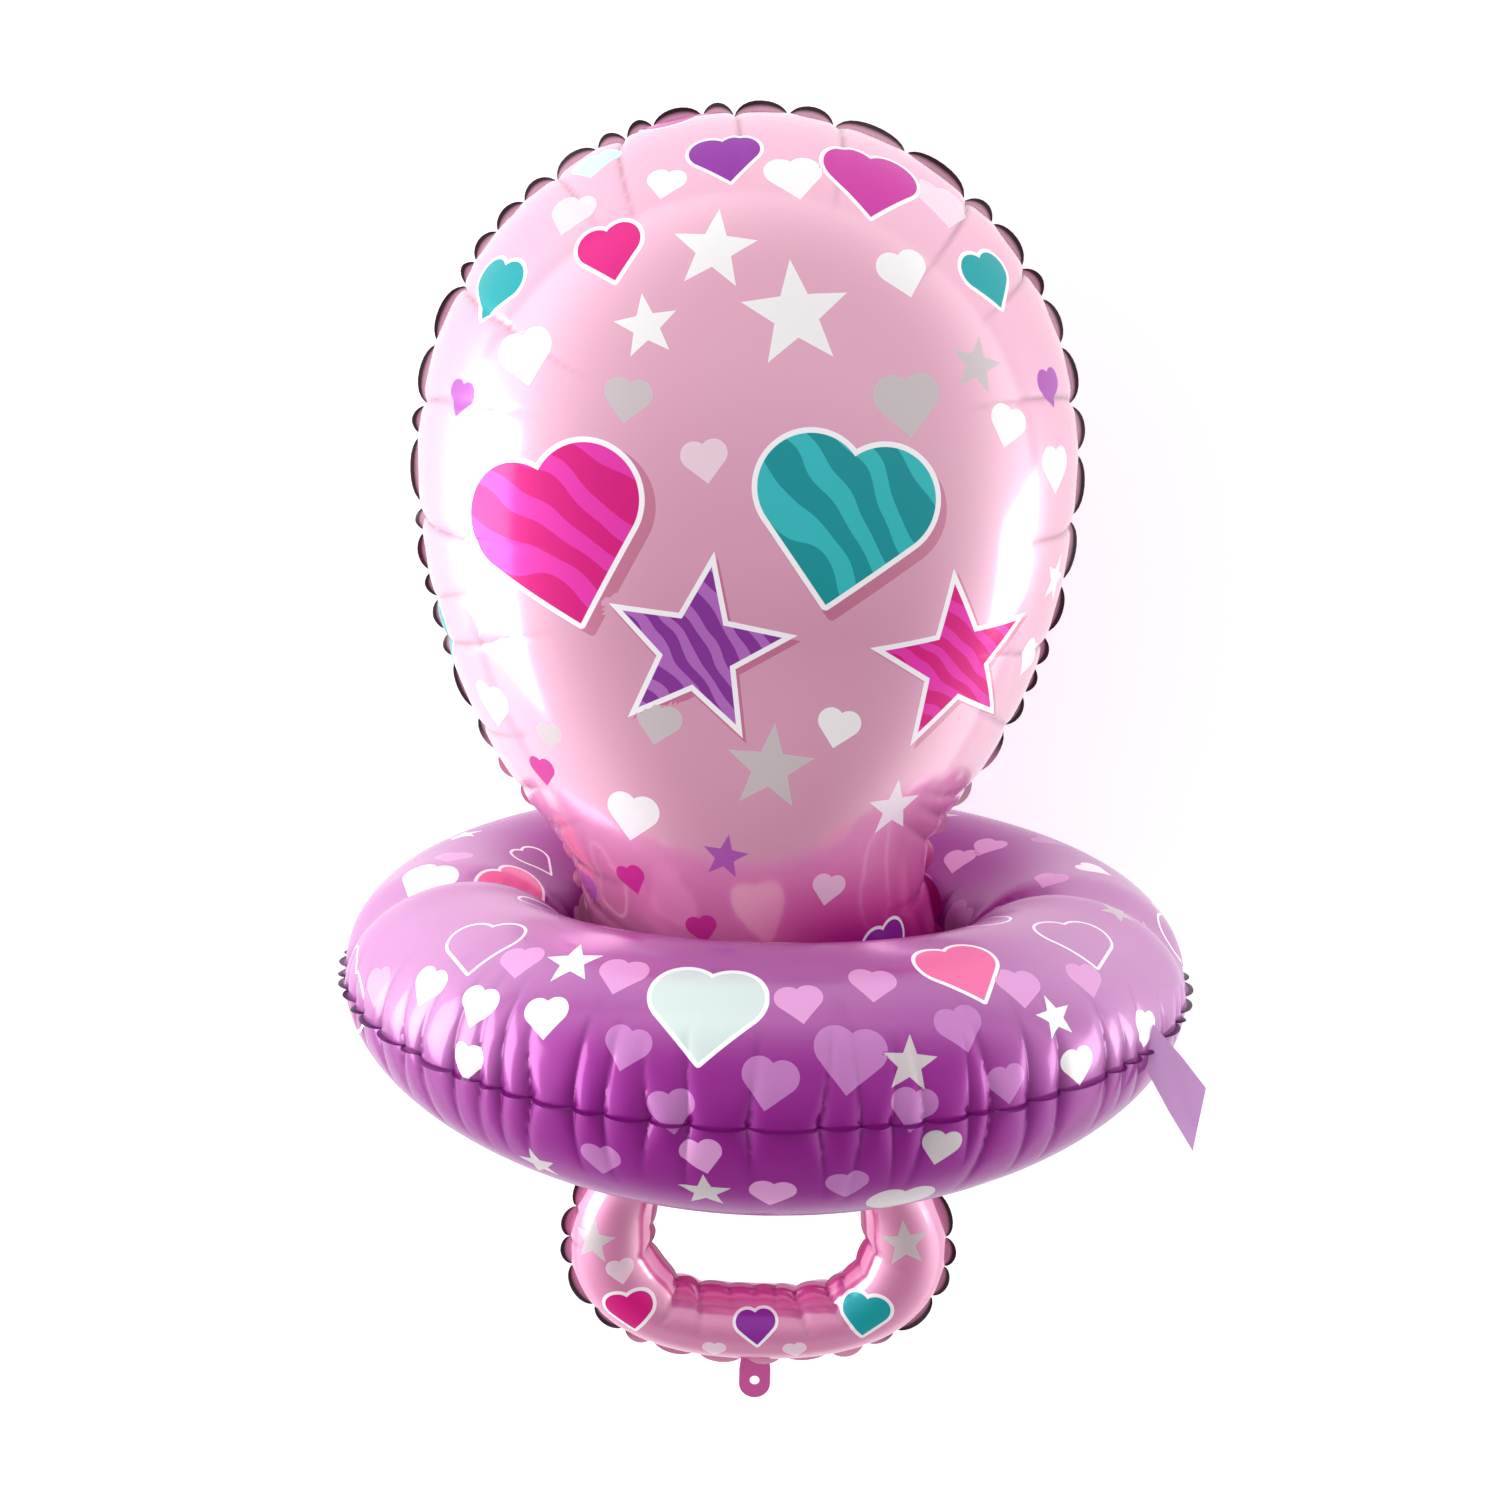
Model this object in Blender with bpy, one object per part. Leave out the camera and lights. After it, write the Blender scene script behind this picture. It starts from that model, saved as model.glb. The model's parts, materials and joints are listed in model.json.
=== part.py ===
"""A foil balloon in the shape of a baby's dummy, lying on its back.

The pink balloon is one sealed envelope: a round head, a neck, and a D-shaped handle. The purple ring
balloon sits round the neck. Both are shaped upright first (X across, Y from front to back, Z along the
neck towards the head) and then laid down, head end low, on the ring's rim and the back of the head.
"""

import math

import bmesh
import bpy
import numpy as np
from mathutils.geometry import delaunay_2d_cdt

for old in list(bpy.data.objects):
    bpy.data.objects.remove(old, do_unlink=True)

# Pink balloon, outer edge of the flat seam
HEAD_HALF_WIDTH = 0.2055
HEAD_RISE = 0.2115
HEAD_DROP = 0.2830
HEAD_CENTRE_Z = 0.3168
HEAD_HALF_DEPTH = 0.1280
NECK_HALF_WIDTH = 0.1165
NECK_HALF_DEPTH = 0.1155
NECK_SWELL_TO_Z = 0.080
HEAD_PROFILE_FROM_Z = 0.030
HEAD_PROFILE_TO_Z = 0.230
NECK_BLEND = 14.0
NECK_END_Z = -0.020
HEAD_LEAN = 0.0180
LEAN_TO_Z = 0.1200
WAIST_HALF_WIDTH = 0.1050
WAIST_Z = -0.1050
HANDLE_HALF_WIDTH = 0.1310
HANDLE_Z = -0.1900
HANDLE_DROP = 0.0893
HANDLE_SQUARENESS = 2.3

# Opening of the handle
OPENING_HALF_WIDTH = 0.0670
OPENING_HALF_HEIGHT = 0.0400
OPENING_Z = -0.1810
OPENING_SQUARENESS = 2.8
SHOULDER_RISE = 0.0750
EVEN_ROWS_BELOW = 0.0200

# Sealed flange and fill tab of the pink balloon
FLANGE_WIDTH = 0.0065
FLANGE_THICKNESS = 0.0012
OPENING_FLANGE_WIDTH = 0.0030
SCALLOP_PITCH = 0.0250
SCALLOP_DEPTH = 0.0030
TAB_HALF_WIDTH = 0.0104
TAB_THICKNESS = 0.0016
TAB_ROOT = 0.0030
TAB_LENGTH = 0.0250
TAB_HOLE_RADIUS = 0.0033
TAB_HOLE_FROM_END = 0.0125

# Ring balloon, its tube given at the front and at the sides
RING_RADIUS_FRONT = 0.1889
RING_RADIUS_SIDE = 0.1927
NECK_SQUEEZE = 0.0021
NECK_ROOM_SIDE = 0.0045
TUBE_HEIGHT_FRONT = 0.0735
TUBE_HEIGHT_SIDE = 0.0610
RING_SADDLE = 0.0043
RING_SEAM_WIDTH = 0.0040
RING_SEAM_THICKNESS = 0.0012
PLEAT_COUNT = 68
PLEAT_DEPTH = 0.0035
FOLD_ANGLE = 79.0
FOLD_WIDTH = 4.5
FOLD_DEPTH = 0.15
FOLD_LIP = 0.03

# Loose end of the ring's fill tab
TAIL_ANGLE = 56.0
TAIL_WIDTH = 0.0360
TAIL_LENGTH = 0.0460
TAIL_ROOT = 0.0120
TAIL_DROOP = 48.0
TAIL_TWIST = 68.0
TAIL_THICKNESS = 0.0012

FIT_GAP = 0.0004
REST_FLAT = 0.0020
GRID_STEP = 0.0040

TAU = 2.0 * math.pi


def smoothstep(t):
    """Ease from 0 to 1."""
    t = min(max(t, 0.0), 1.0)
    return t * t * (3.0 - 2.0 * t)


def lean(z):
    """Sideways shift of the neck's top and the head, which stand a little to the left."""
    return -HEAD_LEAN * smoothstep(z / LEAN_TO_Z)


def half_width(z):
    """Half width of the pink outline between the head's widest line and the handle's."""
    if z > NECK_END_Z:
        drop = min((HEAD_CENTRE_Z - z) / HEAD_DROP, 1.0)
        head = HEAD_HALF_WIDTH * math.sqrt(1.0 - drop * drop)
        return (head ** NECK_BLEND + NECK_HALF_WIDTH ** NECK_BLEND) ** (1.0 / NECK_BLEND)
    if z > WAIST_Z:
        share = smoothstep((NECK_END_Z - z) / (NECK_END_Z - WAIST_Z))
        return NECK_HALF_WIDTH + (WAIST_HALF_WIDTH - NECK_HALF_WIDTH) * share
    share = smoothstep((WAIST_Z - z) / (WAIST_Z - HANDLE_Z))
    return WAIST_HALF_WIDTH + (HANDLE_HALF_WIDTH - WAIST_HALF_WIDTH) * share


def superellipse(angle, wide, high, power):
    """Point of a superellipse about its centre."""
    c = math.cos(angle)
    s = math.sin(angle)
    return (wide * math.copysign(abs(c) ** (2.0 / power), c),
            high * math.copysign(abs(s) ** (2.0 / power), s))


def pink_outline():
    """Dense closed outline of the pink balloon's outer edge, from the top clockwise."""
    right = []
    for i in range(120):
        turn = math.pi / 2 * (1.0 - i / 120)
        right.append((HEAD_HALF_WIDTH * math.cos(turn), HEAD_CENTRE_Z + HEAD_RISE * math.sin(turn)))
    for i in range(240):
        z = HEAD_CENTRE_Z + (HANDLE_Z - HEAD_CENTRE_Z) * i / 240
        right.append((half_width(z), z))
    for i in range(120):
        turn = math.pi / 2 * i / 120
        x, z = superellipse(turn, HANDLE_HALF_WIDTH, HANDLE_DROP, HANDLE_SQUARENESS)
        right.append((x, HANDLE_Z - z))
    bottom = (0.0, HANDLE_Z - HANDLE_DROP)
    left = [(-x, z) for x, z in right[:0:-1]]
    return np.array(right + [bottom] + left)


def resample(loop, count):
    """Even points along a closed loop."""
    closed = np.vstack([loop, loop[:1]])
    run = np.concatenate([[0.0], np.cumsum(np.linalg.norm(np.diff(closed, axis=0), axis=1))])
    want = np.linspace(0.0, run[-1], count, endpoint=False)
    return np.stack([np.interp(want, run, closed[:, 0]), np.interp(want, run, closed[:, 1])], -1)


def loop_length(loop):
    """Length of a closed loop."""
    return float(np.linalg.norm(np.roll(loop, -1, 0) - loop, axis=1).sum())


def inward(loop):
    """Unit normals of a clockwise loop, pointing into it."""
    along = np.roll(loop, -1, 0) - np.roll(loop, 1, 0)
    along /= np.linalg.norm(along, axis=1)[:, None]
    return np.stack([along[:, 1], -along[:, 0]], -1)


def opening_loop(angles, grow):
    """Points round the handle's opening, widened by a margin."""
    ring = []
    for angle in angles:
        x, z = superellipse(angle, OPENING_HALF_WIDTH + grow, OPENING_HALF_HEIGHT + grow,
                            OPENING_SQUARENESS)
        ring.append((x, OPENING_Z + z))
    return np.array(ring)


def inside(points, loop):
    """Which points lie inside a closed loop."""
    hit = np.zeros(len(points), bool)
    a = loop
    b = np.roll(loop, -1, 0)
    for (ax, az), (bx, bz) in zip(a, b):
        crosses = (az > points[:, 1]) != (bz > points[:, 1])
        rise = bz - az if bz != az else 1e-12
        at = ax + (points[:, 1] - az) * (bx - ax) / rise
        hit ^= crosses & (points[:, 0] < at)
    return hit


def pillow_field(outer, hole):
    """Membrane height over the flat sheet: zero at the seams, a round tube over a long strip."""
    low = outer.min(0) - 2 * GRID_STEP
    high = outer.max(0) + 2 * GRID_STEP
    xs = np.arange(low[0], high[0], GRID_STEP)
    zs = np.arange(low[1], high[1], GRID_STEP)
    gx, gz = np.meshgrid(xs, zs, indexing="ij")
    points = np.stack([gx.ravel(), gz.ravel()], -1)
    mask = (inside(points, outer) & ~inside(points, hole)).reshape(gx.shape)
    parity = np.add.outer(np.arange(len(xs)), np.arange(len(zs))) % 2
    field = np.zeros(gx.shape)
    relax = 2.0 / (1.0 + math.sin(math.pi / max(gx.shape)))
    for _ in range(500):
        for colour in (0, 1):
            around = np.zeros_like(field)
            around[1:-1, 1:-1] = (field[2:, 1:-1] + field[:-2, 1:-1] + field[1:-1, 2:]
                                  + field[1:-1, :-2] + GRID_STEP ** 2) / 4.0
            field = np.where(mask & (parity == colour), field + relax * (around - field), field)
    return low, field


def sample(low, field, x, z):
    """Value of the field at a point."""
    u = min(max((x - low[0]) / GRID_STEP, 0.0), field.shape[0] - 1.001)
    v = min(max((z - low[1]) / GRID_STEP, 0.0), field.shape[1] - 1.001)
    i = int(u)
    j = int(v)
    u -= i
    v -= j
    return float((field[i, j] * (1 - u) + field[i + 1, j] * u) * (1 - v)
                 + (field[i, j + 1] * (1 - u) + field[i + 1, j + 1] * u) * v)


def by_azimuth(front, side, azimuth):
    """A size that swings between the ring's front and its sides."""
    return (front + side) / 2 + (front - side) / 2 * math.cos(2 * azimuth)


def tube_reach(azimuth):
    """Half the tube's width, from its middle to the hole's wall, which follows the neck."""
    hole = by_azimuth(NECK_HALF_DEPTH - NECK_SQUEEZE, NECK_HALF_WIDTH + NECK_ROOM_SIDE, azimuth)
    return by_azimuth(RING_RADIUS_FRONT, RING_RADIUS_SIDE, azimuth) - hole


def fold_factor(azimuth, turn):
    """The tube's kink at each side, on its upper half, with a lip in front of it."""
    off = abs(math.degrees(math.atan2(math.sin(azimuth), math.cos(azimuth)))) - FOLD_ANGLE
    upper = max(0.0, math.sin(turn)) ** 0.7
    valley = FOLD_DEPTH * math.exp(-(off / FOLD_WIDTH) ** 2)
    lip = FOLD_LIP * math.exp(-((off + 2 * FOLD_WIDTH) / FOLD_WIDTH) ** 2)
    return 1.0 + upper * (lip - valley)


def ring_point(azimuth, turn, pleat=0.0):
    """Point of the ring's skin; azimuth 0 is the front, turn 0 the outer seam, 90 the head side."""
    radius = by_azimuth(RING_RADIUS_FRONT, RING_RADIUS_SIDE, azimuth)
    reach = tube_reach(azimuth)
    height = by_azimuth(TUBE_HEIGHT_FRONT, TUBE_HEIGHT_SIDE, azimuth)
    size = fold_factor(azimuth, turn)
    out = radius + (reach * size - pleat) * math.cos(turn)
    z = (height * size - pleat) * math.sin(turn) - RING_SADDLE * math.cos(2 * azimuth)
    return (out * math.sin(azimuth), -out * math.cos(azimuth), z)


def ring_clearance(azimuth, z):
    """Distance from the axis to the wall of the ring's hole, at its narrowest near a height."""
    radius = by_azimuth(RING_RADIUS_FRONT, RING_RADIUS_SIDE, azimuth)
    reach = tube_reach(azimuth)
    height = by_azimuth(TUBE_HEIGHT_FRONT, TUBE_HEIGHT_SIDE, azimuth)
    level = max(0.0, abs(z + RING_SADDLE * math.cos(2 * azimuth)) - 0.6 * SCALLOP_PITCH) / height
    if level >= 1.0:
        return math.inf
    return radius - reach * math.sqrt(1.0 - level * level)


def make_object(name, verts, faces, colour, roughness, metallic):
    """Mesh object with its own material, cut flat where it would dip below the floor."""
    shape = bmesh.new()
    corners = [shape.verts.new(v) for v in verts]
    for face in faces:
        shape.faces.new([corners[i] for i in face])
    bmesh.ops.bisect_plane(shape, geom=shape.verts[:] + shape.edges[:] + shape.faces[:], dist=1e-6,
                           plane_co=(0, 0, 0), plane_no=(0, 0, -1), clear_outer=True)
    open_edges = [edge for edge in shape.edges if edge.is_boundary]
    if open_edges:
        bmesh.ops.holes_fill(shape, edges=open_edges, sides=0)
    mesh = bpy.data.meshes.new(name)
    shape.to_mesh(mesh)
    shape.free()
    material = bpy.data.materials.new(name + "_foil")
    material.use_nodes = True
    shader = material.node_tree.nodes["Principled BSDF"]
    shader.inputs["Base Color"].default_value = colour
    shader.inputs["Roughness"].default_value = roughness
    shader.inputs["Metallic"].default_value = metallic
    mesh.materials.append(material)
    obj = bpy.data.objects.new(name, mesh)
    bpy.context.scene.collection.objects.link(obj)
    mesh.shade_smooth()
    mesh.set_sharp_from_angle(angle=math.radians(35))
    return obj


def stitch(fine, coarse, ratio, faces):
    """Triangles between a closed fine row and a coarse one with a node at every ratio-th place."""
    count = len(coarse)
    for c in range(count):
        here = coarse[c]
        there = coarse[(c + 1) % count]
        row = [fine[(c * ratio + k) % len(fine)] for k in range(ratio + 1)]
        half = (ratio + 1) // 2
        for k in range(half):
            faces.append((row[k], row[k + 1], here))
        if here != there:
            faces.append((row[half], there, here))
        for k in range(half, ratio):
            faces.append((row[k], row[k + 1], there))


def strip(row_a, row_b, faces):
    """Two triangles per cell between closed rows of equal count."""
    count = len(row_a)
    for k in range(count):
        n = (k + 1) % count
        if row_b[k] == row_b[n]:
            faces.append((row_a[k], row_a[n], row_b[k]))
            continue
        faces.append((row_a[k], row_a[n], row_b[n]))
        faces.append((row_a[k], row_b[n], row_b[k]))


def build_pacifier():
    """Front and back sheets over one flat layout, closed round the edges."""
    dense = pink_outline()
    columns = 2 * round(loop_length(dense) / SCALLOP_PITCH / 2)
    ratio = 4
    edge_mean = resample(dense, columns * ratio)
    normals = inward(edge_mean)
    seam = edge_mean + normals * FLANGE_WIDTH
    phase = np.arange(columns * ratio) / ratio
    notch = SCALLOP_DEPTH * (1.0 - np.abs(np.sin(math.pi * (phase + 0.5))) ** 0.7)
    bottom = columns * ratio // 2
    for k in range(-2, 3):
        notch[bottom + k] = 0.0
    edge = edge_mean + normals * notch[:, None]

    round_angles = np.linspace(0.0, -TAU, 160, endpoint=False)
    low, field = pillow_field(seam, opening_loop(round_angles, OPENING_FLANGE_WIDTH))
    axis_z = np.arange(OPENING_Z + OPENING_HALF_HEIGHT, HEAD_CENTRE_Z + HEAD_RISE, GRID_STEP)
    axis = np.array([sample(low, field, 0.0, z) for z in axis_z])
    peak = float(axis.max())
    peak_z = float(axis_z[int(axis.argmax())])
    head_scale = HEAD_HALF_DEPTH / math.sqrt(2.0 * peak)
    neck_scale = NECK_HALF_DEPTH / math.sqrt(2.0 * sample(low, field, 0.0, 0.0))

    def depth(x, z, seam_x, seam_z):
        """Half the balloon's thickness at a point, reached from its nearest seam point."""
        gap = math.hypot(x - seam_x, z - seam_z)
        if gap < 2 * GRID_STEP:
            grow = 2 * GRID_STEP / max(gap, 1e-9)
            value = sample(low, field, seam_x + (x - seam_x) * grow, seam_z + (z - seam_z) * grow) / grow
        else:
            value = sample(low, field, x, z)
        headness = smoothstep((z - HEAD_PROFILE_FROM_Z) / (HEAD_PROFILE_TO_Z - HEAD_PROFILE_FROM_Z))
        ridge = peak if z > peak_z else float(np.interp(z, axis_z, axis))
        power = 2.0 + headness
        neckness = smoothstep((z - WAIST_Z) / -WAIST_Z) * (1.0 - smoothstep(z / NECK_SWELL_TO_Z))
        scale = 1.0 + (neck_scale - 1.0) * neckness
        scale += (head_scale - scale) * headness
        if z < -0.06 or ridge <= value:
            half = math.sqrt(2.0 * max(value, 0.0))
        else:
            off = math.sqrt(1.0 - value / ridge)
            half = math.sqrt(2.0 * ridge * (1.0 - off ** power))
        half *= scale
        across = x + lean(z)
        limit = ring_clearance(math.atan2(across, half), z) - FIT_GAP
        if math.hypot(across, half) > limit and abs(across) < limit:
            half = math.sqrt(limit * limit - across * across)
        return max(half, FLANGE_THICKNESS / 2)

    flat = []
    halves = []

    def add(x, z, half):
        flat.append((float(x), float(z)))
        halves.append(half)
        return len(flat) - 1

    thin = FLANGE_THICKNESS / 2
    edge_row = [add(x, z, thin) for x, z in edge]
    seam_row = [add(x, z, thin) for x, z in seam]
    spine = {}
    loop_turn = {}
    tube = (HANDLE_HALF_WIDTH - FLANGE_WIDTH - OPENING_HALF_WIDTH + OPENING_FLANGE_WIDTH) / 2
    loop_z = OPENING_Z + OPENING_HALF_HEIGHT + tube
    split_z = loop_z + SHOULDER_RISE
    coarse_seam = seam[::ratio]
    half_count = columns // 2
    split = next(c for c in range(half_count) if coarse_seam[c][1] < split_z)
    pole = add(0.0, HEAD_CENTRE_Z, depth(0.0, HEAD_CENTRE_Z, 1.0, 1.0))
    start = max(c for c in range(half_count) if coarse_seam[c][1] >= HEAD_CENTRE_Z)
    split_angle = math.atan2(coarse_seam[split][1] - OPENING_Z, coarse_seam[split][0])
    for c in range(half_count + 1):
        other = (columns - c) % columns
        x, z = coarse_seam[c]
        if c <= start:
            spine[c] = pole
            spine[other] = pole
        elif c <= split:
            share = (HEAD_CENTRE_Z - z) / (HEAD_CENTRE_Z - coarse_seam[split][1])
            at = HEAD_CENTRE_Z + (loop_z - HEAD_CENTRE_Z) * share
            node = add(0.0, at, depth(0.0, at, 1.0, 1.0))
            spine[c] = node
            spine[other] = node
            loop_turn[c] = math.pi / 2
        else:
            angle = math.atan2(z - OPENING_Z, x)
            if angle > 0.0:
                angle *= (math.pi / 2) / split_angle
            over = opening_loop([angle], tube)[0]
            between = (opening_loop([angle], OPENING_FLANGE_WIDTH)[0] + coarse_seam[c]) / 2
            px, pz = between + (over - between) * smoothstep(angle / (math.pi / 3))
            spine[c] = add(px, pz, depth(px, pz, 1.0, 1.0))
            loop_turn[c] = angle
            if other != c:
                spine[other] = add(-px, pz, depth(-px, pz, 1.0, 1.0))
                loop_turn[other] = -math.pi - angle

    faces = []
    strip(edge_row, seam_row, faces)
    rows = []
    shares = (0.03, 0.11, 0.24, 0.42, 0.68)
    for step, share in enumerate(shares, 1):
        row = []
        even = step / (len(shares) + 1)
        for c in range(columns):
            sx, sz = coarse_seam[c]
            mx, mz = flat[spine[c]]
            reach = math.hypot(mx - sx, mz - sz)
            at = share + (even - share) * min(1.0, EVEN_ROWS_BELOW / reach)
            x = sx + (mx - sx) * at
            z = sz + (mz - sz) * at
            row.append(add(x, z, depth(x, z, sx, sz)))
        rows.append(row)
    stitch(seam_row, rows[0], ratio, faces)
    for outer_row, inner_row in zip(rows, rows[1:]):
        strip(outer_row, inner_row, faces)
    last = [spine[c] for c in range(columns)]
    strip(rows[-1], last, faces)

    loop = list(range(split, columns - split))
    loop_row = [spine[c] for c in loop]
    turns = [loop_turn[c] for c in loop] + [loop_turn[split] - TAU]
    fine = []
    for a, b in zip(turns, turns[1:]):
        fine += [a, (a + b) / 2]
    hole_edge = opening_loop(fine, 0.0)
    hole_seam = opening_loop(fine, OPENING_FLANGE_WIDTH)
    hole_edge_row = [add(x, z, thin) for x, z in hole_edge]
    hole_seam_row = [add(x, z, thin) for x, z in hole_seam]
    hole_rows = []
    for share in (0.10, 0.35, 0.68):
        row = []
        for k, c in enumerate(loop):
            sx, sz = hole_seam[2 * k]
            mx, mz = flat[spine[c]]
            x = sx + (mx - sx) * share
            z = sz + (mz - sz) * share
            row.append(add(x, z, depth(x, z, sx, sz)))
        hole_rows.append(row)
    hole_faces = []
    strip(hole_edge_row, hole_seam_row, hole_faces)
    stitch(hole_seam_row, hole_rows[0], 2, hole_faces)
    strip(hole_rows[0], hole_rows[1], hole_faces)
    strip(hole_rows[1], hole_rows[2], hole_faces)
    strip(hole_rows[2], loop_row, hole_faces)
    faces += [(a, c, b) for a, b, c in hole_faces]

    faces += tab_faces(flat, edge_row, bottom, add)
    return two_sided(flat, halves, faces)


def tab_faces(flat, edge_row, bottom, add):
    """The flat fill tab below the handle, with its hole, on the flange's bottom edge."""
    root = [edge_row[bottom + k] for k in range(-2, 3)]
    rim_z = HANDLE_Z - HANDLE_DROP
    end_z = rim_z - TAB_LENGTH
    thin = TAB_THICKNESS / 2
    outline = list(root)
    side_z = end_z + TAB_HALF_WIDTH
    outline.append(add(-TAB_HALF_WIDTH, rim_z - TAB_ROOT, thin))
    outline.append(add(-TAB_HALF_WIDTH, side_z, thin))
    for i in range(1, 8):
        turn = math.pi + math.pi * i / 8
        outline.append(add(TAB_HALF_WIDTH * math.cos(turn), side_z + TAB_HALF_WIDTH * math.sin(turn), thin))
    outline.append(add(TAB_HALF_WIDTH, side_z, thin))
    outline.append(add(TAB_HALF_WIDTH, rim_z - TAB_ROOT, thin))
    hole = []
    for i in range(12):
        turn = TAU * i / 12
        hole.append(add(TAB_HOLE_RADIUS * math.cos(turn),
                        end_z + TAB_HOLE_FROM_END + TAB_HOLE_RADIUS * math.sin(turn), thin))
    used = outline + hole
    local = {v: i for i, v in enumerate(used)}
    edges = []
    for ring in (outline, hole):
        edges += [(local[ring[k]], local[ring[(k + 1) % len(ring)]]) for k in range(len(ring))]
    edges.append((local[outline[len(root)]], local[outline[-1]]))
    coords = [flat[v] for v in used]
    out = delaunay_2d_cdt(coords, edges, [], 1, 1e-7)
    faces = []
    centre = np.array([flat[v] for v in hole]).mean(0)
    for tri in out[2]:
        ids = [out[3][i][0] for i in tri]
        mid = np.mean([coords[i] for i in ids], axis=0)
        if np.linalg.norm(mid - centre) < TAB_HOLE_RADIUS * 0.95:
            continue
        if not inside(np.array([mid]), np.array([flat[v] for v in outline]))[0]:
            continue
        faces.append(tuple(used[i] for i in ids))
    return faces


def two_sided(flat, halves, faces):
    """Close a flat layout into a solid: front sheet, back sheet and a wall along each free edge."""
    points = np.array(flat)
    count = len(flat)
    verts = [(x + lean(z), -half, z) for (x, z), half in zip(flat, halves)]
    verts += [(x + lean(z), half, z) for (x, z), half in zip(flat, halves)]
    solid = []
    free = {}
    for a, b, c in faces:
        area = np.cross(points[b] - points[a], points[c] - points[a])
        if area < 0:
            b, c = c, b
        solid.append((a, b, c))
        solid.append((a + count, c + count, b + count))
        for p, q in ((a, b), (b, c), (c, a)):
            if (q, p) in free:
                del free[(q, p)]
            else:
                free[(p, q)] = True
    for p, q in free:
        solid.append((q, p, p + count))
        solid.append((q, p + count, q + count))
    return verts, solid


def build_ring():
    """The ring's skin by rows round its tube, pleated at the outer seam."""
    verts = []
    faces = []
    columns = 2 * PLEAT_COUNT

    def add_row(turn, pleat, step=1, push=0.0, lift=None):
        row = []
        for k in range(0, columns, step):
            azimuth = TAU * k / columns
            deep = pleat if k % 2 == 1 else 0.0
            x, y, z = ring_point(azimuth, turn, deep)
            if lift is not None:
                reach = math.hypot(x, y)
                grow = (reach + push - 0.3 * deep) / reach
                x *= grow
                y *= grow
                z = lift - RING_SADDLE * math.cos(2 * azimuth)
            verts.append((x, y, z))
            row.append(len(verts) - 1)
        return row

    thin = RING_SEAM_THICKNESS / 2
    up_rows = [add_row(0.0, PLEAT_DEPTH, 1, RING_SEAM_WIDTH, thin)]
    down_rows = [add_row(0.0, PLEAT_DEPTH, 1, RING_SEAM_WIDTH, -thin)]
    for degrees, share in ((2.0, 1.0), (14.0, 0.9), (32.0, 0.4)):
        up_rows.append(add_row(math.radians(degrees), PLEAT_DEPTH * share))
        down_rows.append(add_row(math.radians(-degrees), PLEAT_DEPTH * share))
    up_coarse = []
    down_coarse = []
    for degrees in (52.0, 76.0, 102.0, 128.0, 154.0):
        up_coarse.append(add_row(math.radians(degrees), 0.0, 2))
        down_coarse.append(add_row(math.radians(-degrees), 0.0, 2))
    inner = add_row(math.pi, 0.0, 2)

    strip(down_rows[0], up_rows[0], faces)
    for rows, coarse, flip in ((up_rows, up_coarse, False), (down_rows, down_coarse, True)):
        side = []
        for a, b in zip(rows, rows[1:]):
            strip(a, b, side)
        stitch(rows[-1], coarse[0], 2, side)
        for a, b in zip(coarse, coarse[1:]):
            strip(a, b, side)
        strip(coarse[-1], inner, side)
        faces += [(a, c, b) for a, b, c in side] if flip else side
    return verts, faces


def build_tail():
    """The loose, flat end of the ring's fill tab, rooted in the ring's outer seam."""
    azimuth = math.radians(TAIL_ANGLE)
    droop = math.radians(TAIL_DROOP)
    root = np.array(ring_point(azimuth, 0.0))
    out = np.array([math.sin(azimuth), -math.cos(azimuth), 0.0])
    side = np.array([math.cos(azimuth), math.sin(azimuth), 0.0])
    along = out * math.cos(droop) + np.array([0.0, 0.0, -math.sin(droop)])
    twist = math.radians(TAIL_TWIST)
    side = side * math.cos(twist) + np.array([0.0, 0.0, math.sin(twist)])
    face = np.cross(side, along)
    face /= np.linalg.norm(face)
    stations = ((-TAIL_ROOT, 0.32), (0.0, 0.35), (0.5 * TAIL_LENGTH, 0.45), (TAIL_LENGTH, 0.50))
    verts = []
    for run, share in stations:
        for edge in (-1, 1):
            for skin in (-1, 1):
                verts.append(root + along * run + side * edge * share * TAIL_WIDTH
                             + face * skin * TAIL_THICKNESS / 2)
    faces = [(0, 1, 3, 2)]
    for k in range(len(stations) - 1):
        a = 4 * k
        b = a + 4
        faces += [(a, a + 2, b + 2, b), (a + 1, b + 1, b + 3, a + 3),
                  (a, b, b + 1, a + 1), (a + 2, a + 3, b + 3, b + 2)]
    end = 4 * (len(stations) - 1)
    faces.append((end, end + 2, end + 3, end + 1))
    return verts, faces


def rest_tilt(head, ring):
    """Angle below level of the axis, head end down, when the ring's rim and the head both touch."""
    low = 0.0
    high = math.radians(60.0)
    for _ in range(60):
        tilt = (low + high) / 2
        down = np.array([0.0, math.cos(tilt), math.sin(tilt)])
        if (head @ down).max() < (ring @ down).max():
            low = tilt
        else:
            high = tilt
    return (low + high) / 2


pink_verts, pink_faces = build_pacifier()
ring_verts, ring_faces = build_ring()
tail_verts, tail_faces = build_tail()
pink = np.array(pink_verts)
purple = np.array(ring_verts)
tail = np.array(tail_verts)
tilt = rest_tilt(pink[pink[:, 2] > 0.1], purple)


def lay_down(points):
    """Turn upright points onto their back, head end tilted down."""
    x, y, z = points[:, 0], points[:, 1], points[:, 2]
    return np.stack([x, z * math.cos(tilt) - y * math.sin(tilt),
                     -y * math.cos(tilt) - z * math.sin(tilt)], -1)


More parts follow.
